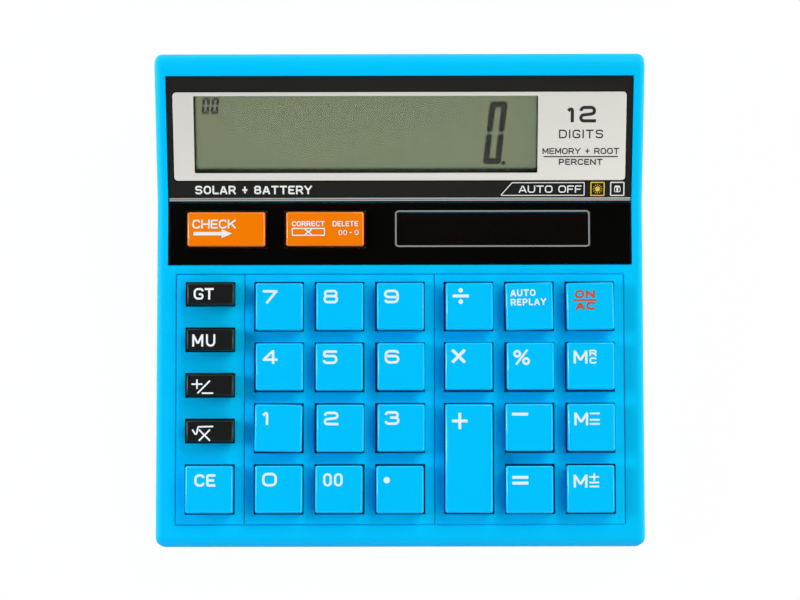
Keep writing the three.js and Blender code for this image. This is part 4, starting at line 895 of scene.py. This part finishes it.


# The driven digits are all noughts. A second, larger and fainter shape beneath the large one is a
# painted shadow round it, which softens its edge. A decimal point stands at its foot and two small
# step digits at the left.
SHADOW_SPREAD = 0.12
shadow_segments = digit_segments(DIGIT_WIDTH + 2 * SHADOW_SPREAD, DIGIT_HEIGHT + 2 * SHADOW_SPREAD,
                               DIGIT_LINE + 2 * SHADOW_SPREAD, 0)
shown("digit_zero", [segments[letter] for letter in NOUGHT], driven, DIGIT_X, DIGIT_Y)
shown("digit_zero_shadow", [shadow_segments[letter] for letter in NOUGHT], painted_segment_shadow,
      DIGIT_X - SHADOW_SPREAD, DIGIT_Y - SHADOW_SPREAD, SHADOW_HEIGHT)
POINT_RADIUS, POINT_SIDES = 0.58, 16
POINT_X, POINT_Y = 27.65, 9.85
shown("decimal_point", [circle(0, 0, POINT_RADIUS, POINT_SIDES)], driven, POINT_X, POINT_Y)
STEP_WIDTH, STEP_HEIGHT, STEP_LINE, STEP_GAP = 2.0, 4.4, 0.76, 0.12
STEPS_X, STEP_Y = (-52.65, -50.2), 23.0
step_segments = digit_segments(STEP_WIDTH, STEP_HEIGHT, STEP_LINE, STEP_GAP)
for number, x in enumerate(STEPS_X):
    shown(f"step_digit_{number}", [step_segments[letter] for letter in NOUGHT], faint, x, STEP_Y)

# A row of like pieces is one piece repeated along x. The idle digits are such a row.
row_tree, given = tree_with_inputs("row_of_pieces", Piece="Object", Count="Int", Pitch="Float",
                                   Finish="Material")
step = add(row_tree, "ShaderNodeCombineXYZ", {"X": given["Pitch"]})
row = add(row_tree, "GeometryNodeMeshLine", {"Count": given["Count"], "Offset": step},
          mode="OFFSET")
one = add(row_tree, "GeometryNodeObjectInfo", {"Object": given["Piece"]})
many = add(row_tree, "GeometryNodeInstanceOnPoints",
           {"Points": row, "Instance": one.outputs["Geometry"]})
whole = add(row_tree, "GeometryNodeRealizeInstances", {"Geometry": many})
finished = add(row_tree, "GeometryNodeSetMaterial",
               {"Geometry": whole, "Material": given["Finish"]})
add(row_tree, "NodeGroupOutput", {"Geometry": finished})


def row_of(name, piece, count, pitch, finish, place):
    """One piece repeated along x as a single mesh, moved into place; the one piece goes."""
    holder = in_scene(name, bpy.data.meshes.new(name))
    run_tree(holder, row_tree, {"Piece": piece, "Count": count, "Pitch": pitch, "Finish": finish})
    made = baked(holder, place)
    bpy.data.objects.remove(piece)
    return made


idle_count = DIGITS_ACROSS - 1
one_digit = film_shapes("one_digit", list(segments.values()), idle)
idle_digits = row_of("idle_digits", one_digit, idle_count, DIGIT_PITCH * MM, idle,
                     on_glass(DIGIT_X - DIGIT_PITCH * idle_count, DIGIT_Y, IDLE_HEIGHT))
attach(idle_digits, case_body)

# ---------------- trim strip and control panel
# A grey strip covers the crease, with painted light across it: bright stripes are painted
# highlights on its ridges and dark ones painted shade in its grooves. Below it the second black
# panel carries the two orange keys and the solar window: a fine grey outline round smoked acrylic
# with the dark cell behind it.

# The painted stripes of highlight and shade: how far each tone lies from the strip's rear edge, in
# millimetres, and its grey.
PAINTED_RIDGE_LIGHT = [(0.0, "9c9b99"), (0.2, "d3d2cf"), (0.46, "464543"), (0.72, "c8c7c4"),
              (0.92, "40403f"), (1.02, "0a0a09")]
TRIM_EDGE = 0.18 * MM
strip_low, strip_high = local_box("trim_strip", display)
trim_material, tree, place = patterned_material("grey_pinstripe_trim")
along = add(tree, "ShaderNodeMapping",
            {"Vector": place, "Rotation": (-DISPLAY_SLOPE, 0, 0),
             "Location": display.inverted().translation})
parts = add(tree, "ShaderNodeSeparateXYZ", {"Vector": along})
from_rear = add(tree, "ShaderNodeMapRange",
                {"Value": parts.outputs["Y"], "From Min": strip_high.y, "From Max": strip_low.y})
# Painted highlights and shade across the strip, by distance from its rear edge; it ends near black
# at the front.
ridge_light_ramp = add(tree, "ShaderNodeValToRGB", {"Fac": from_rear})
ramp = ridge_light_ramp.color_ramp.elements
ramp.remove(ramp[-1])
for number, (position, grey) in enumerate(PAINTED_RIDGE_LIGHT):
    stop = ramp.new(position * MM / (strip_high.y - strip_low.y)) if number else ramp[0]
    stop.color = linear(grey)
strip_skin = add(tree, "ShaderNodeBsdfPrincipled",
                 {"Base Color": ridge_light_ramp, "Metallic": 1.0, "Roughness": 0.35})
add(tree, "ShaderNodeOutputMaterial", {"Surface": strip_skin})
trim = softened_copy("trim_strip", "trim_pinstripe", trim_material, TRIM_EDGE, 3)
lower_acrylic = dyed_acrylic("black_acrylic_control_panel", "080706", 0.08, 0.5)
controls = softened_copy("control_panel", "control_panel_acrylic", lower_acrylic, PANEL_EDGE, 2)
smoked = dyed_acrylic("smoked_acrylic_window", "100c0a", 0.06, 0.5, alpha=0.8)
solar_window = softened_copy("solar_window", "smoked_solar_window", smoked, GLASS_EDGE, 1)

# A grey outline is printed on the panel, as wide as the window and a little longer.
OUTLINE_FRONT, OUTLINE_REAR = -11.7, -2.35
OUTLINE_LINE, OUTLINE_ROUND = 0.4, 0.75
grey_ink = screen_ink("grey_screen_ink", "8b8b86")
window_low, window_high = local_box("solar_window", deck)
outline = box(window_low.x / MM, window_high.x / MM, OUTLINE_FRONT, OUTLINE_REAR,
              OUTLINE_LINE, OUTLINE_ROUND)
printed("solar_outline", [outline], grey_ink, top_face("control_panel", deck), case_body)

# The solar cell: amorphous silicon on glass, cut into strips that join end to end.
silicon, tree, place = patterned_material("amorphous_silicon_cell")
stain_size = 6 * MM
stain = add(tree, "ShaderNodeTexNoise", {"Vector": place, "Scale": 1 / stain_size})
tone = add(tree, "ShaderNodeMix",
           {"Factor": stain, 6: linear("2a1512"), 7: linear("1a0d10")}, data_type="RGBA")
cell_skin = add(tree, "ShaderNodeBsdfPrincipled", {"Base Color": tone.outputs[2], "Roughness": 0.2})
add(tree, "ShaderNodeOutputMaterial", {"Surface": cell_skin})
cell = softened_copy("solar_cell", "solar_cell_glass", silicon, GLASS_EDGE, 1)
STRIP_COUNT = 5
STRIP_WIDTH, STRIP_THICKNESS, STRIP_ABOVE = 0.35 * MM, 0.02 * MM, 0.012 * MM
STRIP_SHARE = 0.9
conductor = satin_metal("printed_silver_conductor", "7d7874", 0.5)
cell_low, cell_high = local_box("solar_cell", deck)
strip_pitch = (cell_high.x - cell_low.x) / (STRIP_COUNT + 1)
strip_size = (STRIP_WIDTH, (cell_high.y - cell_low.y) * STRIP_SHARE, STRIP_THICKNESS)
strip_shape = bmesh.new()
bmesh.ops.create_cube(strip_shape, size=1, matrix=Matrix.Diagonal((*strip_size, 1)))
one_strip = in_scene("one_strip", bpy.data.meshes.new("one_strip"))
strip_shape.to_mesh(one_strip.data)
strip_shape.free()
first_strip = deck @ Matrix.Translation(
    (cell_low.x + strip_pitch, (cell_low.y + cell_high.y) / 2, cell_high.z + STRIP_ABOVE))
strips = row_of("solar_strips", one_strip, STRIP_COUNT, strip_pitch, conductor, first_strip)
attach(strips, case_body)

# ---------------- inside and underneath
# The silicone key mat, the laminate board with its printed tracks, the epoxy blob over the chip,
# the leads, the button cell and its contacts, and on the outside the screws and the rubber feet.


def silicone(name, hex_colour, roughness):
    """Moulded rubber: a matt skin with a slight bloom."""
    material, tree, place = patterned_material(name)
    skin_size = 0.4 * MM
    skin = add(tree, "ShaderNodeTexNoise", {"Vector": place, "Scale": 1 / skin_size, "Detail": 3})
    relief = add(tree, "ShaderNodeBump", {"Height": skin, "Strength": 0.2, "Distance": 0.03 * MM})
    rubber = add(tree, "ShaderNodeBsdfPrincipled",
                 {"Base Color": linear(hex_colour), "Roughness": roughness,
                  "Specular IOR Level": 0.3, "Sheen Weight": 0.15, "Normal": relief})
    add(tree, "ShaderNodeOutputMaterial", {"Surface": rubber})
    return material


def smooth_plastic(name, hex_colour):
    """Extruded vinyl, polyimide film or cured epoxy: smooth, and not quite evenly glossy."""
    material, tree, place = patterned_material(name)
    flow_size = 1.5 * MM
    flow = add(tree, "ShaderNodeTexNoise", {"Vector": place, "Scale": 1 / flow_size})
    gloss = add(tree, "ShaderNodeMapRange", {"Value": flow, "To Min": 0.3, "To Max": 0.4})
    skin = add(tree, "ShaderNodeBsdfPrincipled",
               {"Base Color": linear(hex_colour), "Roughness": gloss, "IOR": 1.53})
    add(tree, "ShaderNodeOutputMaterial", {"Surface": skin})
    return material


# The board's laminate: green solder mask with copper tracks showing through on a 2.54 mm grid.
laminate, tree, place = patterned_material("solder_masked_laminate")
track_pitch = 2.54 * MM
tracks = add(tree, "ShaderNodeTexBrick",
             {"Vector": place, "Color1": linear("2f7a3c"), "Color2": linear("27652f"),
              "Mortar": linear("b07a3c"), "Scale": 1 / track_pitch, "Mortar Size": 0.06,
              "Mortar Smooth": 0.1})
mask = add(tree, "ShaderNodeBsdfPrincipled", {"Base Color": tracks, "Roughness": 0.3})
add(tree, "ShaderNodeOutputMaterial", {"Surface": mask})

# Each piece has its material, its slot, and how far its edges are rounded, in millimetres.
inside = {
    "key_mat": (silicone("translucent_grey_silicone", "b9bcbb", 0.55), "mat_rubber", 0),
    "circuit_board": (laminate, "board_laminate", 0.06),
    "chip_blob": (smooth_plastic("black_potting_epoxy", "0b0b0c"), "black_epoxy", 0),
    "lcd_ribbon": (smooth_plastic("amber_ribbon_film", "b98a3a"), "ribbon_film", 0),
    "solar_wire_red": (smooth_plastic("red_vinyl_insulation", "c4161c"), "red_vinyl", 0),
    "solar_wire_black": (smooth_plastic("black_vinyl_insulation", "141414"), "black_vinyl", 0),
    "battery_cell": (satin_metal("nickelled_steel_cell", "c9c8c4", 0.25), "nickel_steel", 0.12),
    "battery_contact_positive": (satin_metal("nickelled_spring_steel", "bfbdb6", 0.3),
                                 "nickel_steel", 0.05),
}
inside["battery_wire_red"] = inside["solar_wire_red"]
inside["battery_wire_black"] = inside["solar_wire_black"]
inside["battery_contact_negative"] = inside["battery_contact_positive"]
screw_steel = satin_metal("zinc_plated_screw", "b4b4b0", 0.32)
foot_rubber = silicone("black_foot_rubber", "1a1a1b", 0.7)
for corner_name in ("front_left", "front_right", "rear_left", "rear_right"):
    inside["case_screw_" + corner_name] = (screw_steel, "nickel_steel", 0.06)
    inside["foot_" + corner_name] = (foot_rubber, "foot_rubber", 0.15)
for node, (material, slot_name, edge) in inside.items():
    made = softened_copy(node, node + "_finished", material, edge * MM, 2)
